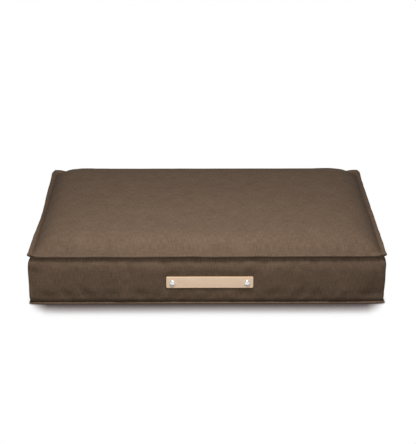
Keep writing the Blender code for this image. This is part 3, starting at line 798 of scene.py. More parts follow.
def leather_finish():
    bench = Bench("vegetable tanned leather")
    x, y, z = bench.place()
    pores = bench.cells(x * 1900, z * 2300, y * 1900)
    grain = bench.speckle(x * 320, z * 420, y * 300, 5.0, 0.6)
    clouds = bench.speckle(x * 34, z * 60, 2.0, 3.0)
    base = tuple(colours().leather)
    deep = tuple(v * k for v, k in zip(base, (0.80, 0.73, 0.64)))
    tone = (clouds * 0.55 + grain * 0.55 - pores * 0.12).above(0.0).below(1.0)
    return bench.finished(
        grain * 0.7 + pores.power(0.6) * 0.6,
        0.00012,
        0.5,
        Base_Color=bench.blend(tone, deep, base),
        Roughness=0.50 + (grain - 0.5) * 0.25,
        Specular_IOR_Level=0.4,
    )


def foam_finish():
    bench = Bench("open-cell foam")
    x, y, z = bench.place()
    cells = bench.cells(x * 700, y * 700, z * 700)
    tint = bench.grain((20, 20, 20), 3.0)
    base = tuple(colours().foam)
    deep = tuple(v * 0.6 for v in base)
    return bench.finished(
        cells,
        0.0006,
        0.8,
        Base_Color=bench.blend((cells * 0.8 + tint * 0.4).below(1.0), deep, base),
        Roughness=0.85 + tint * 0.1,
    )


def fibre_finish():
    bench = Bench("hollow fibre wadding")
    strands = bench.grain((160, 160, 420), 5.0, 0.65)
    tint = bench.grain((18, 18, 30), 3.0)
    base = tuple(colours().fibre)
    return bench.finished(
        strands,
        0.0012,
        0.8,
        Base_Color=bench.blend(strands * 0.7 + tint * 0.3, tuple(v * 0.72 for v in base), base),
        Roughness=0.8 + tint * 0.15,
        Sheen_Weight=0.3,
    )


def lining_finish():
    base = tuple(colours().lining)
    return woven("calico lining", 0, 1, base, tuple(v * 0.8 for v in base), 0.0007, 0.5)


MIXES = {
    "cover_flat": lambda: cover_finish(0, 1, "brown canvas, lying"),
    "cover_long": lambda: cover_finish(0, 2, "brown canvas, long sides"),
    "cover_short": lambda: cover_finish(1, 2, "brown canvas, short sides"),
    "sewing_thread": thread_finish,
    "zip_tape": tape_finish,
    "zip_teeth": lambda: grained(
        "moulded zip teeth",
        colours().teeth,
        scales=(500, 500, 500),
        detail=3.0,
        rough=0.5,
        bump=(0.00003, 0.5),
        lighter=1.4,
        roughness=0.38,
    ),
    "zip_metal": lambda: metal_finish("bronzed zip metal", colours().metal, True, 0.34),
    "rivet_metal": lambda: metal_finish("nickelled rivets", colours().rivet, False, 0.24),
    "label_leather": leather_finish,
    "leather_edge": lambda: grained(
        "cut leather edge",
        colours().leather_edge,
        scales=(900, 1500, 900),
        detail=4.0,
        rough=0.6,
        bump=(0.0002, 0.8),
        lighter=1.9,
        roughness=0.72,
    ),
    "lining_cloth": lining_finish,
    "foam": foam_finish,
    "fibre": fibre_finish,
}


def finish_named(name):
    if name not in FINISHES:
        FINISHES[name] = MIXES[name]()
    return FINISHES[name]


def dress(piece, *names):
    """Gives a piece its finish or finishes."""
    if piece.data.materials:
        for k in range(len(piece.data.materials)):
            piece.material_slots[k].link = "OBJECT"
            piece.material_slots[k].material = finish_named(names[0])
        return piece
    for name in names:
        piece.data.materials.append(finish_named(name))
    return piece


def stands_in(piece, node, slot):
    """Hides the CAD node that a piece replaces, and gives the piece the slot's finish."""
    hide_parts(node)
    return dress(piece, slot)


# ---------------------------------------------------------------- cover panels

FLANGE_STEPS = (0.0, 0.3, 0.65, 1.0)


def lattice(step, fine):
    """Places over a panel and its flanges, and each place's share of the flange along x and y."""
    steps = np.array(FLANGE_STEPS[1:])

    def lines(half):
        inner = spaced(half, step, fine)
        return (
            np.concatenate([np.full(3, -half), inner, np.full(3, half)]),
            np.concatenate([-steps[::-1], np.zeros(len(inner)), steps]),
        )

    px, rx = lines(BOXING_FACE_X)
    py, ry = lines(BOXING_FACE_Y)
    return *np.meshgrid(px, py, indexing="xy"), *np.meshgrid(rx, ry, indexing="xy")


def by_side(measure, x, y):
    """A measure of the sides: along the short ones at y, and along the long ones at x."""
    return (
        np.where(x > 0, measure("right", y), measure("left", -y)),
        np.where(y > 0, measure("rear", -x), measure("front", x)),
    )


def top_grid():
    """Middle of the top panel's cloth, with its flanges and its four ears."""
    sizes = bpy.context.scene.cushion_sizes
    x0, y0, ax, ay = lattice(sizes.cell, (0.0, 0.0015, 0.004, 0.008, 0.014))
    north = y0 > 0
    seam_x, seam_y = by_side(seam_out, x0, y0)
    reach_x, reach_y = by_side(flange_reach, x0, y0)
    away = np.maximum(BOXING_FACE_X - np.abs(x0), BOXING_FACE_Y - np.abs(y0))
    cut = np.where(north, 0.30, 0.10) * near(away, 0.009)
    x = x0 * (1 + seam_x / BOXING_FACE_X) + ax * reach_x * (1 - cut * ax**2)
    y = y0 * (1 + seam_y / BOXING_FACE_Y) + ay * reach_y * (1 - cut * ay**2)
    rise_x, rise_y = by_side(flange_rise, x0, y0)
    fx, fy = np.abs(ax), np.abs(ay)
    r = np.maximum(fx, fy)
    z = TOP_SEAM + crown(x0, y0) + top_wrinkle(x0, y0)
    z = z + np.where(fx >= fy, rise_x * fx, rise_y * fy)
    far_x, far_y = BOXING_FACE_X + 0.004 - np.abs(x0), BOXING_FACE_Y + 0.004 - np.abs(y0)
    long = np.maximum(far_x, far_y)
    edge = near(np.minimum(far_x, far_y) - 0.004, 0.012)
    rear_ear = sizes.rear_ear_lift * near(long, 0.038) * (0.5 + 0.5 * r) * edge
    z = z + np.where(north, rear_ear, sizes.ear_lift * near(long, 0.013) * r)
    for away, t, seed in (
        (BOXING_FACE_Y - np.abs(y0), x0, 71),
        (BOXING_FACE_X - np.abs(x0), y0, 75),
    ):
        z = z + pucker(t, away, seed) * eased(away / 0.003) * (r == 0)
    return settled(np.stack([x, y, z], axis=-1))


def seam_rows(side, t, fraction):
    """A boxing's points in the top flange: fraction 0 at the seam, 1 at the tip."""
    half = HALF[side]
    seam = seam_out(side, t)
    cut = 0.0
    for end in (-1, 1):
        cut = cut + corner_cut(side, end) * near(half - end * t, 0.009)
    reach = flange_reach(side, t) * (1 - cut * fraction**2)
    ends = []
    for end in (-1, 1):
        neighbour, other = beside(side, end)
        whole = flange_reach(neighbour, other) * (1 - corner_cut(side, end) * fraction**2)
        ends.append(seam_out(neighbour, other) + fraction * whole)
    share = (t / half + 1) / 2
    along = t + (1 - share) * -ends[0] * near(t + half, 0.05)
    along = along + share * ends[1] * near(half - t, 0.05)
    z = TOP_SEAM - CLOTH_STEP - 0.0001 + flange_rise(side, t) * fraction + ear(side, t, fraction)
    return placed(side, along, seam + reach * fraction, z)


def boxing_grid(side, low=None, high=None, first=None, last=None):
    """Middle of a boxing's cloth. low and high cut it at a hem, first and last at a seam."""
    sizes = bpy.context.scene.cushion_sizes
    half = HALF[side]
    t = spaced(half, sizes.cell)
    if first is not None or last is not None:
        a, b = (-half if first is None else first), (half if last is None else last)
        t = spaced((b - a) / 2, sizes.cell) + (a + b) / 2
        t[0], t[-1] = a, b
    rows = []
    heights = np.concatenate(
        [
            [TOP_KINK, TOP_KINK - 0.0012, TOP_KINK - 0.0035],
            np.linspace(TOP_KINK - 0.008, FOOT_KINK + 0.008, 14),
            [FOOT_KINK + 0.0035, FOOT_KINK + 0.0012, FOOT_KINK],
        ]
    )
    hem = np.array([0.0, 0.0012, 0.0045, 0.0115])
    if high is None:
        rows += [seam_rows(side, t, fraction) for fraction in (1.0, 0.65, 0.3)]
    else:
        heights = np.concatenate([high - hem, heights[heights < high - 0.014]])
    if low is not None:
        heights = np.concatenate([heights[heights > low + 0.014], low + hem[::-1]])
    seam = seam_out(side, t)
    for z in heights:
        out = boxing_out(side, t, np.full_like(t, z))
        to_seam = eased(1 - (TOP_KINK - z) / 0.010)
        out = out * (1 - to_seam) + seam * to_seam
        left = corner_swell(side, -1, z) * near(t + half, 0.05)
        right = corner_swell(side, 1, z) * near(half - t, 0.05)
        if z > TOP_KINK - 0.010:
            s0 = seam_out(*beside(side, -1)) * near(t + half, 0.05)
            s1 = seam_out(*beside(side, 1)) * near(half - t, 0.05)
            left = left * (1 - to_seam) + s0 * to_seam
            right = right * (1 - to_seam) + s1 * to_seam
        rows.append(placed(side, t - left + right, out, z))
    if low is None:
        rows += [foot_rows(side, t, fraction) for fraction in (0.3, 0.65, 1.0)]
    else:
        rows += hem_rows(side, t, low, 1)
    if high is not None:
        rows = hem_rows(side, t, high, -1)[::-1] + rows
    grid = settled(np.stack(rows))
    return turned_in(grid, side, first is None, last is None)


def hem_rows(side, t, z, way):
    """The cloth folded back inside a hem."""
    folds = ((0.0002, 0.0006), (0.0016, 0.0012), (0.006, 0.0012), (0.0115, 0.0012))
    out = boxing_out(side, t, np.full_like(t, z))
    return [placed(side, t, out - back, z + way * depth) for depth, back in folds]


def turned_in(grid, side, first_corner, last_corner):
    """Adds the seam allowance that turns in at both ends of a boxing."""
    (tx, ty), (nx, ny) = TRAVEL[side], OUTWARD[side]
    travel, outward = np.array([tx, ty, 0.0]), np.array([nx, ny, 0.0])
    back = 0.0007
    grid = grid.copy()
    grid[:, 0] += travel * back
    grid[:, -1] -= travel * back
    start = travel * (0.0016 if first_corner else 0.0003) - outward * 0.0020
    end = -travel * (0.0016 if last_corner else 0.0003) - outward * 0.0020
    return np.concatenate([grid[:, :1] + start, grid, grid[:, -1:] + end], axis=1)


def foot_lift(side, t):
    """How far the bottom edge stands off the floor: it turns up at the corners."""
    half = HALF[side]
    lift = 0.0003 + 0.0005 * (1 + ripple(t, 0.05, 81 + SIDES.index(side))) / 2
    big = {("front", 1): 0.0020, ("right", -1): 0.0020}
    for end in (-1, 1):
        height = big.get((side, end), 0.0012)
        width = 0.018 if (side, end) in big else 0.014
        lift = lift + height * near(half - end * t, width)
    return lift


def foot_rows(side, t, fraction):
    """A boxing's points in the bottom flange: fraction 0 at the seam, 1 at the tip."""
    half = HALF[side]
    ends = [-FOOT_IN + fraction * foot_reach(*beside(side, end)) for end in (-1, 1)]
    along = t - ends[0] * near(t + half, 0.05) + ends[1] * near(half - t, 0.05)
    fall = BOTTOM_SEAM - FLAT_CLOTH
    z = BOTTOM_SEAM - fall * (1 - (1 - fraction) ** 1.6)
    z = z + foot_lift(side, t) * (0.4 + 0.6 * fraction) + CLOTH_STEP
    return placed(side, along, -FOOT_IN + foot_reach(side, t) * fraction, z)


def bottom_grid():
    """Middle of the bottom panel's cloth, flat where it rests on the floor."""
    x0, y0, ax, ay = lattice(0.02, (0.0, 0.003, 0.007, 0.011, 0.0155))
    reach_x, reach_y = by_side(foot_reach, x0, y0)
    x = x0 * (1 - FOOT_IN / BOXING_FACE_X) + ax * reach_x
    y = y0 * (1 - FOOT_IN / BOXING_FACE_Y) + ay * reach_y
    lift_x, lift_y = by_side(foot_lift, x0, y0)
    fx, fy = np.abs(ax), np.abs(ay)
    r = np.maximum(fx, fy)
    lift = np.where(fx >= fy, lift_x, lift_y) * (r > 0)
    in_x, in_y = BOXING_FACE_X - np.abs(x0), BOXING_FACE_Y - np.abs(y0)
    tuck = eased(1 - np.minimum(in_x, in_y) / 0.0155)
    nearest = np.where(in_x < in_y, lift_x, lift_y)
    fall = BOTTOM_SEAM - FLAT_CLOTH
    inner = FLAT_CLOTH + fall * tuck + nearest * 0.4 * tuck
    outer = BOTTOM_SEAM - fall * (1 - (1 - r) ** 1.6) + lift * (0.4 + 0.6 * r)
    z = np.where(r > 0, outer, inner)
    return np.stack([x, y, z], axis=-1)[::-1]


def sewn_sheet(piece, node, finish):
    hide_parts(node)
    dress(piece, finish)


class CUSHION_OT_top_panel(bpy.types.Operator):
    """Sew the crowned top panel with its flanges and ears"""

    bl_idname = "cushion_bed.top_panel"
    bl_label = "Top panel"

    def execute(self, context):
        piece = cloth_piece("cover_top", top_grid(), context.scene.cushion_sizes.cloth)
        sewn_sheet(piece, "top_panel", "cover_flat")
        return {"FINISHED"}


class CUSHION_OT_boxing(bpy.types.Operator):
    """Sew the plain boxing of the front and both short sides"""

    bl_idname = "cushion_bed.boxing"
    bl_label = "Boxing"

    def execute(self, context):
        thick = context.scene.cushion_sizes.cloth
        for side in ("front", "left", "right"):
            piece = cloth_piece(f"cover_{side}", boxing_grid(side), thick)
            finish = "cover_long" if side == "front" else "cover_short"
            sewn_sheet(piece, f"{side}_boxing", finish)
        return {"FINISHED"}


class CUSHION_OT_zip_side(bpy.types.Operator):
    """Sew the rear boxing: two hemmed strips beside the zip and a plain panel at each end"""

    bl_idname = "cushion_bed.zip_side"
    bl_label = "Rear with zip opening"

    def execute(self, context):
        thick = context.scene.cushion_sizes.cloth
        end = OPENING + 0.0003
        # Seen along the rear side's own direction of travel, the right end panel comes first.
        panels = (
            ("upper", "rear_boxing_upper", (HEM_UPPER, None, -OPENING, OPENING), (0.70, 0.072)),
            ("lower", "rear_boxing_lower", (None, HEM_LOWER, -OPENING, OPENING), (0.70, 0.070)),
            ("right", "rear_end_panel_right", (None, None, None, -end), (0.062, 0.124)),
            ("left", "rear_end_panel_left", (None, None, end, None), (0.062, 0.124)),
        )
        for name, node, cuts, flat in panels:
            piece = cloth_piece(f"cover_rear_{name}", boxing_grid("rear", *cuts), thick)
            sewn_sheet(piece, node, "cover_long")
        return {"FINISHED"}


class CUSHION_OT_bottom_panel(bpy.types.Operator):
    """Sew the flat bottom panel with its drooping flange"""

    bl_idname = "cushion_bed.bottom_panel"
    bl_label = "Bottom panel"

    def execute(self, context):
        piece = cloth_piece("cover_bottom", bottom_grid(), context.scene.cushion_sizes.cloth)
        sewn_sheet(piece, "bottom_panel", "cover_flat")
        return {"FINISHED"}


# ---------------------------------------------------------------- stitching


def ring_line(points_of, count=160):
    """A closed line round the bed from each side's own points, without its corners."""
    reach = {side: HALF[side] - 0.001 for side in SIDES}
    return [points_of(side, np.linspace(-reach[side], reach[side], count)) for side in SIDES]


class CUSHION_OT_seams(bpy.types.Operator):
    """Sew every seam and hem with real stitches"""

    bl_idname = "cushion_bed.seams"
    bl_label = "Stitching"

    def execute(self, context):
        sizes = context.scene.cushion_sizes
        self.flange_seam("stitches_top_seam", "top_seam_thread", self.on_top, (0, 0, 1))
        self.flange_seam("stitches_bottom_seam", "bottom_seam_thread", self.on_foot, (0, 0, 1), 1.5)
        heights = np.linspace(0.0115, 0.109, 60)
        for name, side, end in (
            ("front_left", "front", -1),
            ("front_right", "front", 1),
            ("rear_right", "rear", -1),
            ("rear_left", "rear", 1),
        ):
            inner = corner_swell(side, end, heights) - 0.0008
            line = settled(placed(side, end * (HALF[side] + inner), inner, heights))
            diagonal = placed(side, end * 1.0, 1.0 - BOXING_FACE_Y, 0.0)
            lean = diagonal / np.linalg.norm(diagonal)
            stitched(f"stitches_corner_{name}", line, lean, f"corner_thread_{name}", 0.0058, 0.0036)
        xs = np.linspace(-OPENING + 0.002, OPENING - 0.002, 300)
        for name, z in (("upper", HEM_UPPER + 0.003), ("lower", HEM_LOWER - 0.003)):
            out = boxing_out("rear", xs, np.full_like(xs, z)) + sizes.cloth / 2
            line = placed("rear", xs, out, z)
            stitched(f"stitches_zip_{name}", line, (0, 1, 0), f"zip_thread_{name}", 0.0040, 0.0030)
        zs = np.linspace(0.013, 0.109, 60)
        for name, t in (("right", -OPENING - 0.003), ("left", OPENING + 0.003)):
            out = boxing_out("rear", np.full_like(zs, t), zs) + sizes.cloth / 2
            line, node = placed("rear", t, out, zs), f"rear_end_thread_{name}"
            stitched(f"stitches_rear_end_{name}", line, (0, 1, 0), node, 0.0040, 0.0030)
        return {"FINISHED"}

    def on_top(self, side, t):
        sizes = bpy.context.scene.cushion_sizes
        fraction = 0.26
        line = seam_rows(side, t, fraction)
        line[:, 2] += 0.0014 + sizes.cloth / 2
        return settled(line)

    def on_foot(self, side, t):
        sizes = bpy.context.scene.cushion_sizes
        line = foot_rows(side, t, 0.16)
        line[:, 2] += sizes.cloth / 2
        return line

    def flange_seam(self, name, node, points_of, lean, thick=1.0):
        line = np.concatenate(ring_line(points_of))
        line = np.concatenate([line, line[:1]])
        stitched(name, line, lean, node, thick=thick)


# ---------------------------------------------------------------- zip


def moulded_row(name, node, way, shift):
    """A row of separate moulded teeth, their heads towards the middle of the zip."""
    sizes = bpy.context.scene.cushion_sizes
    low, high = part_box(node)
    start, stop, back, front = low.x, high.x, low.y, high.y
    root = max(abs(low.z - ZIP_Z), abs(high.z - ZIP_Z))
    # Half of a tooth's outline: from its root along its neck to its head.
    outline = [(0.00072, root), (0.00072, 0.0022), (0.00042, 0.0017), (0.00042, 0.0014)]
    outline += [(0.00070, 0.00115), (0.00070, 0.00078), (0.00045, 0.00062)]
    outline += [(-x, z) for x, z in reversed(outline)]
    centre = 0.0017
    n = len(outline)
    layers = ((back, 0.80), (back + 0.0003, 1.0), (front - 0.0005, 1.0), (front, 0.66))
    points, faces = [], []
    count = int((stop - start - 0.002) / sizes.tooth_pitch)
    middle = (start + stop) / 2
    for i in range(count):
        x0 = middle + (i - (count - 1) / 2 + shift) * sizes.tooth_pitch
        base = len(points)
        for y, share in layers:
            for x, z in outline:
                z = centre + (z - centre) * (0.5 + 0.5 * share)
                points.append((x0 + x * share, y, ZIP_Z + way * z))
        last = base + (len(layers) - 1) * n
        tooth = bands(len(layers), n, base)
        tooth += [tuple(range(base, base + n))[::-1], tuple(range(last, last + n))]
        faces += [f if way > 0 else f[::-1] for f in tooth]
    # The cord that the teeth are moulded on, at the edge of the tape.
    xs = np.linspace(start, stop, 240)
    cord_y, cord_z = (back + front) / 2 - 0.0002, ZIP_Z + way * (root - 0.00055)
    cord = np.stack([xs, np.full_like(xs, cord_y), np.full_like(xs, cord_z)], 1)
    cord_points, cord_faces = capsule_chain([cord], 0.0005, around=8)
    base = len(points)
    faces += [tuple(v + base for v in f) for f in cord_faces]
    piece = new_piece(name, np.concatenate([np.array(points), cord_points]), faces, smooth=False)
    stands_in(piece, node, "zip_teeth")


def tape_piece(name, node, way):
    """Woven tape, its rows of points closer together beside the teeth."""
    low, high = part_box(node)
    xs = np.linspace(low.x, high.x, 160)
    middle = (low.y + high.y) / 2
    near_edge, far_edge = (low.z, high.z) if way > 0 else (high.z, low.z)
    rows = []
    for share in (0.0, 0.04, 0.12, 0.2, 0.35, 0.5, 0.65, 0.8, 0.95, 1.0):
        z = np.full_like(xs, near_edge + (far_edge - near_edge) * share)
        rows.append(np.stack([xs, middle + 0.00006 * ripple(xs, 0.03, 5 + way), z], 1))
    grid = np.stack(rows if way < 0 else rows[::-1])[:, ::-1]
    piece = cloth_piece(name, grid, (high.y - low.y) * 0.72, 0)
    stands_in(piece, node, "zip_tape")


def rounded_edges(node, width, segments=2):
    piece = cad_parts[node]
    mod = piece.modifiers.new("worn edges", "BEVEL")
    mod.width, mod.segments, mod.limit_method = width, segments, "ANGLE"
    mod.angle_limit = math.radians(35)
    mod.harden_normals = False
    return piece


class CUSHION_OT_zip(bpy.types.Operator):
    """Fit the zip: tapes, teeth, stops, slider and pull"""

    bl_idname = "cushion_bed.zip"
    bl_label = "Zip"

    def execute(self, context):
        moulded_row("zip_teeth_row_upper", "zip_teeth_upper", 1, 0.0)
        moulded_row("zip_teeth_row_lower", "zip_teeth_lower", -1, 0.5)
        tape_piece("zip_tape_woven_upper", "zip_tape_upper", 1)
        tape_piece("zip_tape_woven_lower", "zip_tape_lower", -1)
        for node in ("zip_bottom_stop", "zip_top_stop_upper", "zip_top_stop_lower"):
            dress(rounded_edges(node, 0.0003), "zip_metal")
        dress(rounded_edges("zip_slider", 0.00018), "zip_metal")
        dress(rounded_edges("zip_pull", 0.00025), "zip_metal")
        return {"FINISHED"}


# ---------------------------------------------------------------- label


def label_back(x, z):
    """Where the label's back lies against the filled front."""
    x, z = np.broadcast_arrays(np.asarray(x, float), np.asarray(z, float))
    out = boxing_out("front", x, z)
    return -(BOXING_FACE_Y + out + 0.0006 + 0.0001)


class CUSHION_OT_label(bpy.types.Operator):
    """Cut the leather label and set its two rivets"""

    bl_idname = "cushion_bed.label"
    bl_label = "Label and rivets"

    def execute(self, context):
        self.leather()
        for end in ("left", "right"):
            self.rivet(end)
        return {"FINISHED"}

    def leather(self):
        low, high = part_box("label_strip")
        cx, cz = (low.x + high.x) / 2, (low.z + high.z) / 2
        hx, hz = (high.x - low.x) / 2, (high.z - low.z) / 2
        thick = high.y - low.y
        # Depth of the edge's rounding at each layer, from the back of the leather to its face.
        layers = ((0.0, 0.0), (0.35, 0.0), (0.70, 0.00005), (0.88, 0.00025))
        layers += ((0.97, 0.0006), (1.0, 0.0011))
        around = []
        corner, steps = 0.0022, 6
        for k, (sx, sz) in enumerate(((1, -1), (1, 1), (-1, 1), (-1, -1))):
            for s in range(steps + 1):
                turn = math.radians(-90 + 90 * k + 90 * s / steps)
                x = sx * (hx - corner) + corner * math.cos(turn)
                around.append((x, sz * (hz - corner) + corner * math.sin(turn)))
        outline = []
        for k, (x, z) in enumerate(around):
            nx, nz = around[(k + 1) % len(around)]
            gap = math.hypot(nx - x, nz - z)
            count = max(1, round(gap / 0.004))
            outline += [(x + (nx - x) * i / count, z + (nz - z) * i / count) for i in range(count)]
        outline = np.array(outline)
        n = len(outline)
        points = []
        centre = np.array([cx, cz])
        shrink = lambda inset: outline * (1 - inset / np.array([hx, hz]))
        wobble = 0.00012 * ripple(np.arange(n) * 0.004, 0.012, 5)
        for share, inset in layers:
            ring = shrink(inset + wobble[:, None]) + centre
            y = label_back(ring[:, 0], ring[:, 1]) - thick * share
            points += [(x, yy, z) for (x, z), yy in zip(ring, y)]
        faces = bands(len(layers), n)
        edge_faces = 3 * n
        # The face and the back, as rings that close in on the middle line.
        face, back = (0.0025, 0.005, 0.008, 0.0115), (0.004, 0.008, 0.0115)
        for share, rings, flip in ((1.0, face, False), (0.0, back, True)):
            previous = (len(layers) - 1) * n if not flip else 0
            for inset in rings:
                base = len(points)
                ring = shrink(inset) + centre
                press = 0.00022 * near(np.array([inset - 0.0025]), 0.0006)[0] if not flip else 0.0
                y = label_back(ring[:, 0], ring[:, 1]) - thick * share + press
                points += [(x, yy, z) for (x, z), yy in zip(ring, y)]
                for s in range(n):
                    e = (s + 1) % n
                    quad = (previous + s, previous + e, base + e, base + s)
                    faces.append(quad[::-1] if flip else quad)
                previous = base
            cap = tuple(range(previous, previous + n))
            faces.append(cap[::-1] if flip else cap)
        piece = new_piece("label_leather", points, faces)
        dress(piece, "label_leather", "leather_edge")
        for k in range(edge_faces):
            piece.data.polygons[k].material_index = 1
        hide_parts("label_strip")

    def rivet(self, end):
        node = f"rivet_cap_{end}"
        low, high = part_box(node)
        cx, cz = (low.x + high.x) / 2, (low.z + high.z) / 2
        r = (high.x - low.x) / 2
        face = float(label_back(cx, cz)) - 0.0024
        # The cap's profile: (distance from its axis, height over the leather).
        profile = [(0.0019, -0.0050), (0.0019, -0.0002)]
        profile += [(r * 0.93, 0.0), (r * 0.985, 0.00015), (r, 0.0005), (r * 0.985, 0.0009)]
        profile += [
            (r * 0.97 * math.cos(a), 0.0010 + 0.0019 * math.sin(a))
            for a in np.radians([6, 14, 24, 35, 47, 60, 73, 84])
        ]
        around = 56
        points = []
        for radius, height in profile:
            for s in range(around):
                turn = 2 * math.pi * s / around
                x, z = cx + radius * math.cos(turn), cz + radius * math.sin(turn)
                points.append((x, face - height, z))
        faces = bands(len(profile), around)
        faces.append(tuple(range(around))[::-1])
        last = (len(profile) - 1) * around
        points.append((cx, face - 0.0029, cz))
        faces += [(last + s, last + (s + 1) % around, len(points) - 1) for s in range(around)]
        stands_in(new_piece(f"rivet_{end}", points, faces), node, "rivet_metal")
        dress(rounded_edges(f"rivet_base_{end}", 0.0002), "rivet_metal")


# ---------------------------------------------------------------- filling


def soft_copy(node, name, slot, share=(0.9915, 0.9885, 0.975)):
    """A softer piece in place of a CAD one, drawn in a little to stay clear of the cover."""
    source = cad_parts[node]
    mesh = source.data.copy()
    mesh.name = name
    mesh.materials.clear()
    points = np.empty(len(mesh.vertices) * 3, np.float32)
    mesh.vertices.foreach_get("co", points)
    points = points.reshape(-1, 3).astype(float)
    points[:, :2] *= np.array(share[:2])
    points[:, 2] = 0.0035 + (points[:, 2] - 0.0015) * share[2]
    mesh.vertices.foreach_set("co", points.astype(np.float32).ravel())
    piece = added(name, mesh)
    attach(piece, "cushion")
    return stands_in(piece, node, slot)


class CUSHION_OT_filling(bpy.types.Operator):
    """Stuff the cover: foam core, fibre topper and the inner case that holds them"""

    bl_idname = "cushion_bed.filling"
    bl_label = "Filling"

    def execute(self, context):
        soft_copy("foam_core", "foam_block", "foam")
        soft_copy("fibre_topper", "fibre_pad", "fibre")
        for node, name in (("tray", "box"), ("top", "lid")):
            case = soft_copy(f"inner_case_{node}", f"inner_case_{name}", "lining_cloth")
            faces = case.data.polygons
            faces.foreach_set("use_smooth", [False] * len(faces))
        dress(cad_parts["label_backing"], "lining_cloth")
        return {"FINISHED"}


# ---------------------------------------------------------------- stage


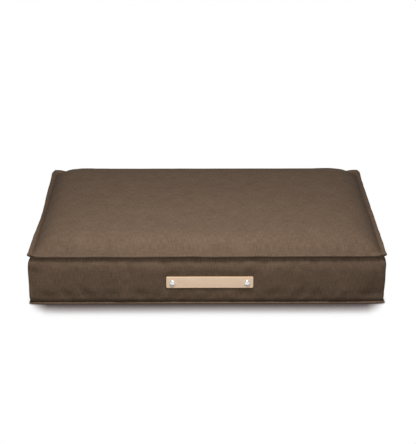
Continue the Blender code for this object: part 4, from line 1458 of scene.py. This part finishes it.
class CUSHION_OT_stage(bpy.types.Operator):
    """Set the floor, the light and the camera"""

    bl_idname = "cushion_bed.stage"
    bl_label = "Stage"

    def execute(self, context):
        self.floor()
        self.light(context.scene.cushion_studio)
        self.camera()
        scene = context.scene
        scene.view_settings.view_transform = "Standard"
        scene.view_settings.look = "None"
        return {"FINISHED"}

    def floor(self):
        mesh = bpy.data.meshes.new("floor")
        s = 30.0
        mesh.from_pydata([(-s, -s, 0), (s, -s, 0), (s, s, 0), (-s, s, 0)], [], [(0, 1, 2, 3)])
        floor = added("floor", mesh)
        floor.location.z = -0.0001
        # The floor glows white to the camera, with a painted contact shadow where ambient occlusion
        # finds the bed close. To diffuse bounces it is a dim grey.
        bench = Bench("white studio floor, painted contact shadow")
        soft = bench.node("ShaderNodeLightPath", output="Is Diffuse Ray")
        shade, reach = "ShaderNodeAmbientOcclusion", {"Distance": 0.09}
        open_sky = bench.node(shade, {"samples": 16}, reach, output="AO")
        # The painted contact shadow fades towards both ends of the bed.
        x, _, _ = bench.place()
        at_ends = ((x.size() - 0.362) / 0.055).above(0.0).below(1.0)
        open_sky = 1.0 - (1.0 - open_sky) * (1.0 - at_ends * 0.85)
        # Colours of the floor's glow, from the painted shadow at the bed's foot out to plain white.
        stops = (
            (0.0, (0.02, 0.015, 0.014)),
            (1.0, (1.0, 1.0, 1.0)),
            (0.54, (0.10, 0.080, 0.077)),
            (0.72, (0.43, 0.395, 0.39)),
            (0.90, (1.0, 1.0, 1.0)),
        )
        tone = bench.node("ShaderNodeValToRGB", {"stops": stops}, [open_sky])
        shown = bench.node("ShaderNodeEmission", {}, {"Color": tone, "Strength": 1.0})
        matt = bench.node("ShaderNodeBsdfDiffuse", {}, {"Color": (0.12, 0.115, 0.11, 1.0)})
        both = bench.node("ShaderNodeMixShader", {}, [soft, shown, matt])
        bench.tree.links.new(both.socket, bench.tree.nodes["Material Output"].inputs["Surface"])
        mesh.materials.append(bench.material)

    def light(self, studio):
        for name, power, size, spot, target in (
            ("overhead softbox", studio.key, (0.8, 0.26), (-0.03, -0.56, 1.00), (-0.02, -0.20, 0.10)),
            ("front softbox", studio.front, (0.7, 0.4), (-0.03, -1.25, 0.66), (0.0, -0.30, 0.08)),
        ):
            data = bpy.data.lights.new(name, "AREA")
            data.shape, (data.size, data.size_y) = "RECTANGLE", size
            data.energy = power
            box = added(name, data)
            box.location = spot
            aim = Vector(target) - box.location
            box.rotation_euler = aim.to_track_quat("-Z", "Y").to_euler()
        world = bpy.data.worlds.new("studio")
        bpy.context.scene.world = world
        world.use_nodes = True
        nodes, links = world.node_tree.nodes, world.node_tree.links
        for node in list(nodes):
            nodes.remove(node)
        path = nodes.new("ShaderNodeLightPath")
        white, dim = nodes.new("ShaderNodeBackground"), nodes.new("ShaderNodeBackground")
        dim.inputs["Strength"].default_value = studio.fill
        mixed, out = nodes.new("ShaderNodeMixShader"), nodes.new("ShaderNodeOutputWorld")
        white.inputs["Color"].default_value = dim.inputs["Color"].default_value = (1, 1, 1, 1)
        links.new(path.outputs["Is Camera Ray"], mixed.inputs[0])
        links.new(dim.outputs[0], mixed.inputs[1])
        links.new(white.outputs[0], mixed.inputs[2])
        links.new(mixed.outputs[0], out.inputs["Surface"])

    def camera(self):
        data = bpy.data.cameras.new("camera")
        data.sensor_width, data.lens = 36.0, 115.6
        data.clip_start, data.clip_end = 0.05, 100.0
        camera = added("camera", data)
        azimuth, elevation, distance = math.radians(-0.28), math.radians(19.82), 3.501
        back = Vector((
            math.sin(azimuth) * math.cos(elevation),
            -math.cos(azimuth) * math.cos(elevation),
            math.sin(elevation),
        ))
        camera.location = Vector((0.0035, 0.0, 0.0892)) + back * distance
        camera.rotation_euler = (-back).to_track_quat("-Z", "Y").to_euler()
        bpy.context.scene.camera = camera


class CUSHION_PT_panel(bpy.types.Panel):
    """Makes the bed, one group of pieces at a time"""

    bl_idname = "CUSHION_PT_panel"
    bl_label = "Cushion Bed"
    bl_space_type = "VIEW_3D"
    bl_region_type = "UI"
    bl_category = "Cushion Bed"

    def draw(self, context):
        for operator in OPERATORS:
            self.layout.operator(operator.bl_idname)
        for group in ("cushion_sizes", "cushion_colours", "cushion_studio"):
            box = self.layout.box()
            settings = getattr(context.scene, group)
            for key in settings.bl_rna.properties.keys():
                if key not in ("rna_type", "name"):
                    box.prop(settings, key)


OPERATORS = (
    CUSHION_OT_top_panel,
    CUSHION_OT_boxing,
    CUSHION_OT_zip_side,
    CUSHION_OT_bottom_panel,
    CUSHION_OT_seams,
    CUSHION_OT_zip,
    CUSHION_OT_label,
    CUSHION_OT_filling,
    CUSHION_OT_stage,
)
GROUPS = (CushionSizes, CushionColours, CushionStudio)


def register():
    for kind in (*GROUPS, *OPERATORS, CUSHION_PT_panel):
        bpy.utils.register_class(kind)
    bpy.types.Scene.cushion_sizes = PointerProperty(type=CushionSizes)
    bpy.types.Scene.cushion_colours = PointerProperty(type=CushionColours)
    bpy.types.Scene.cushion_studio = PointerProperty(type=CushionStudio)


def unregister():
    for name in ("cushion_sizes", "cushion_colours", "cushion_studio"):
        delattr(bpy.types.Scene, name)
    for kind in reversed((*GROUPS, *OPERATORS, CUSHION_PT_panel)):
        bpy.utils.unregister_class(kind)


def main():
    register()
    for operator in OPERATORS:
        group, name = operator.bl_idname.split(".")
        getattr(getattr(bpy.ops, group), name)()


if __name__ == "__main__":
    main()
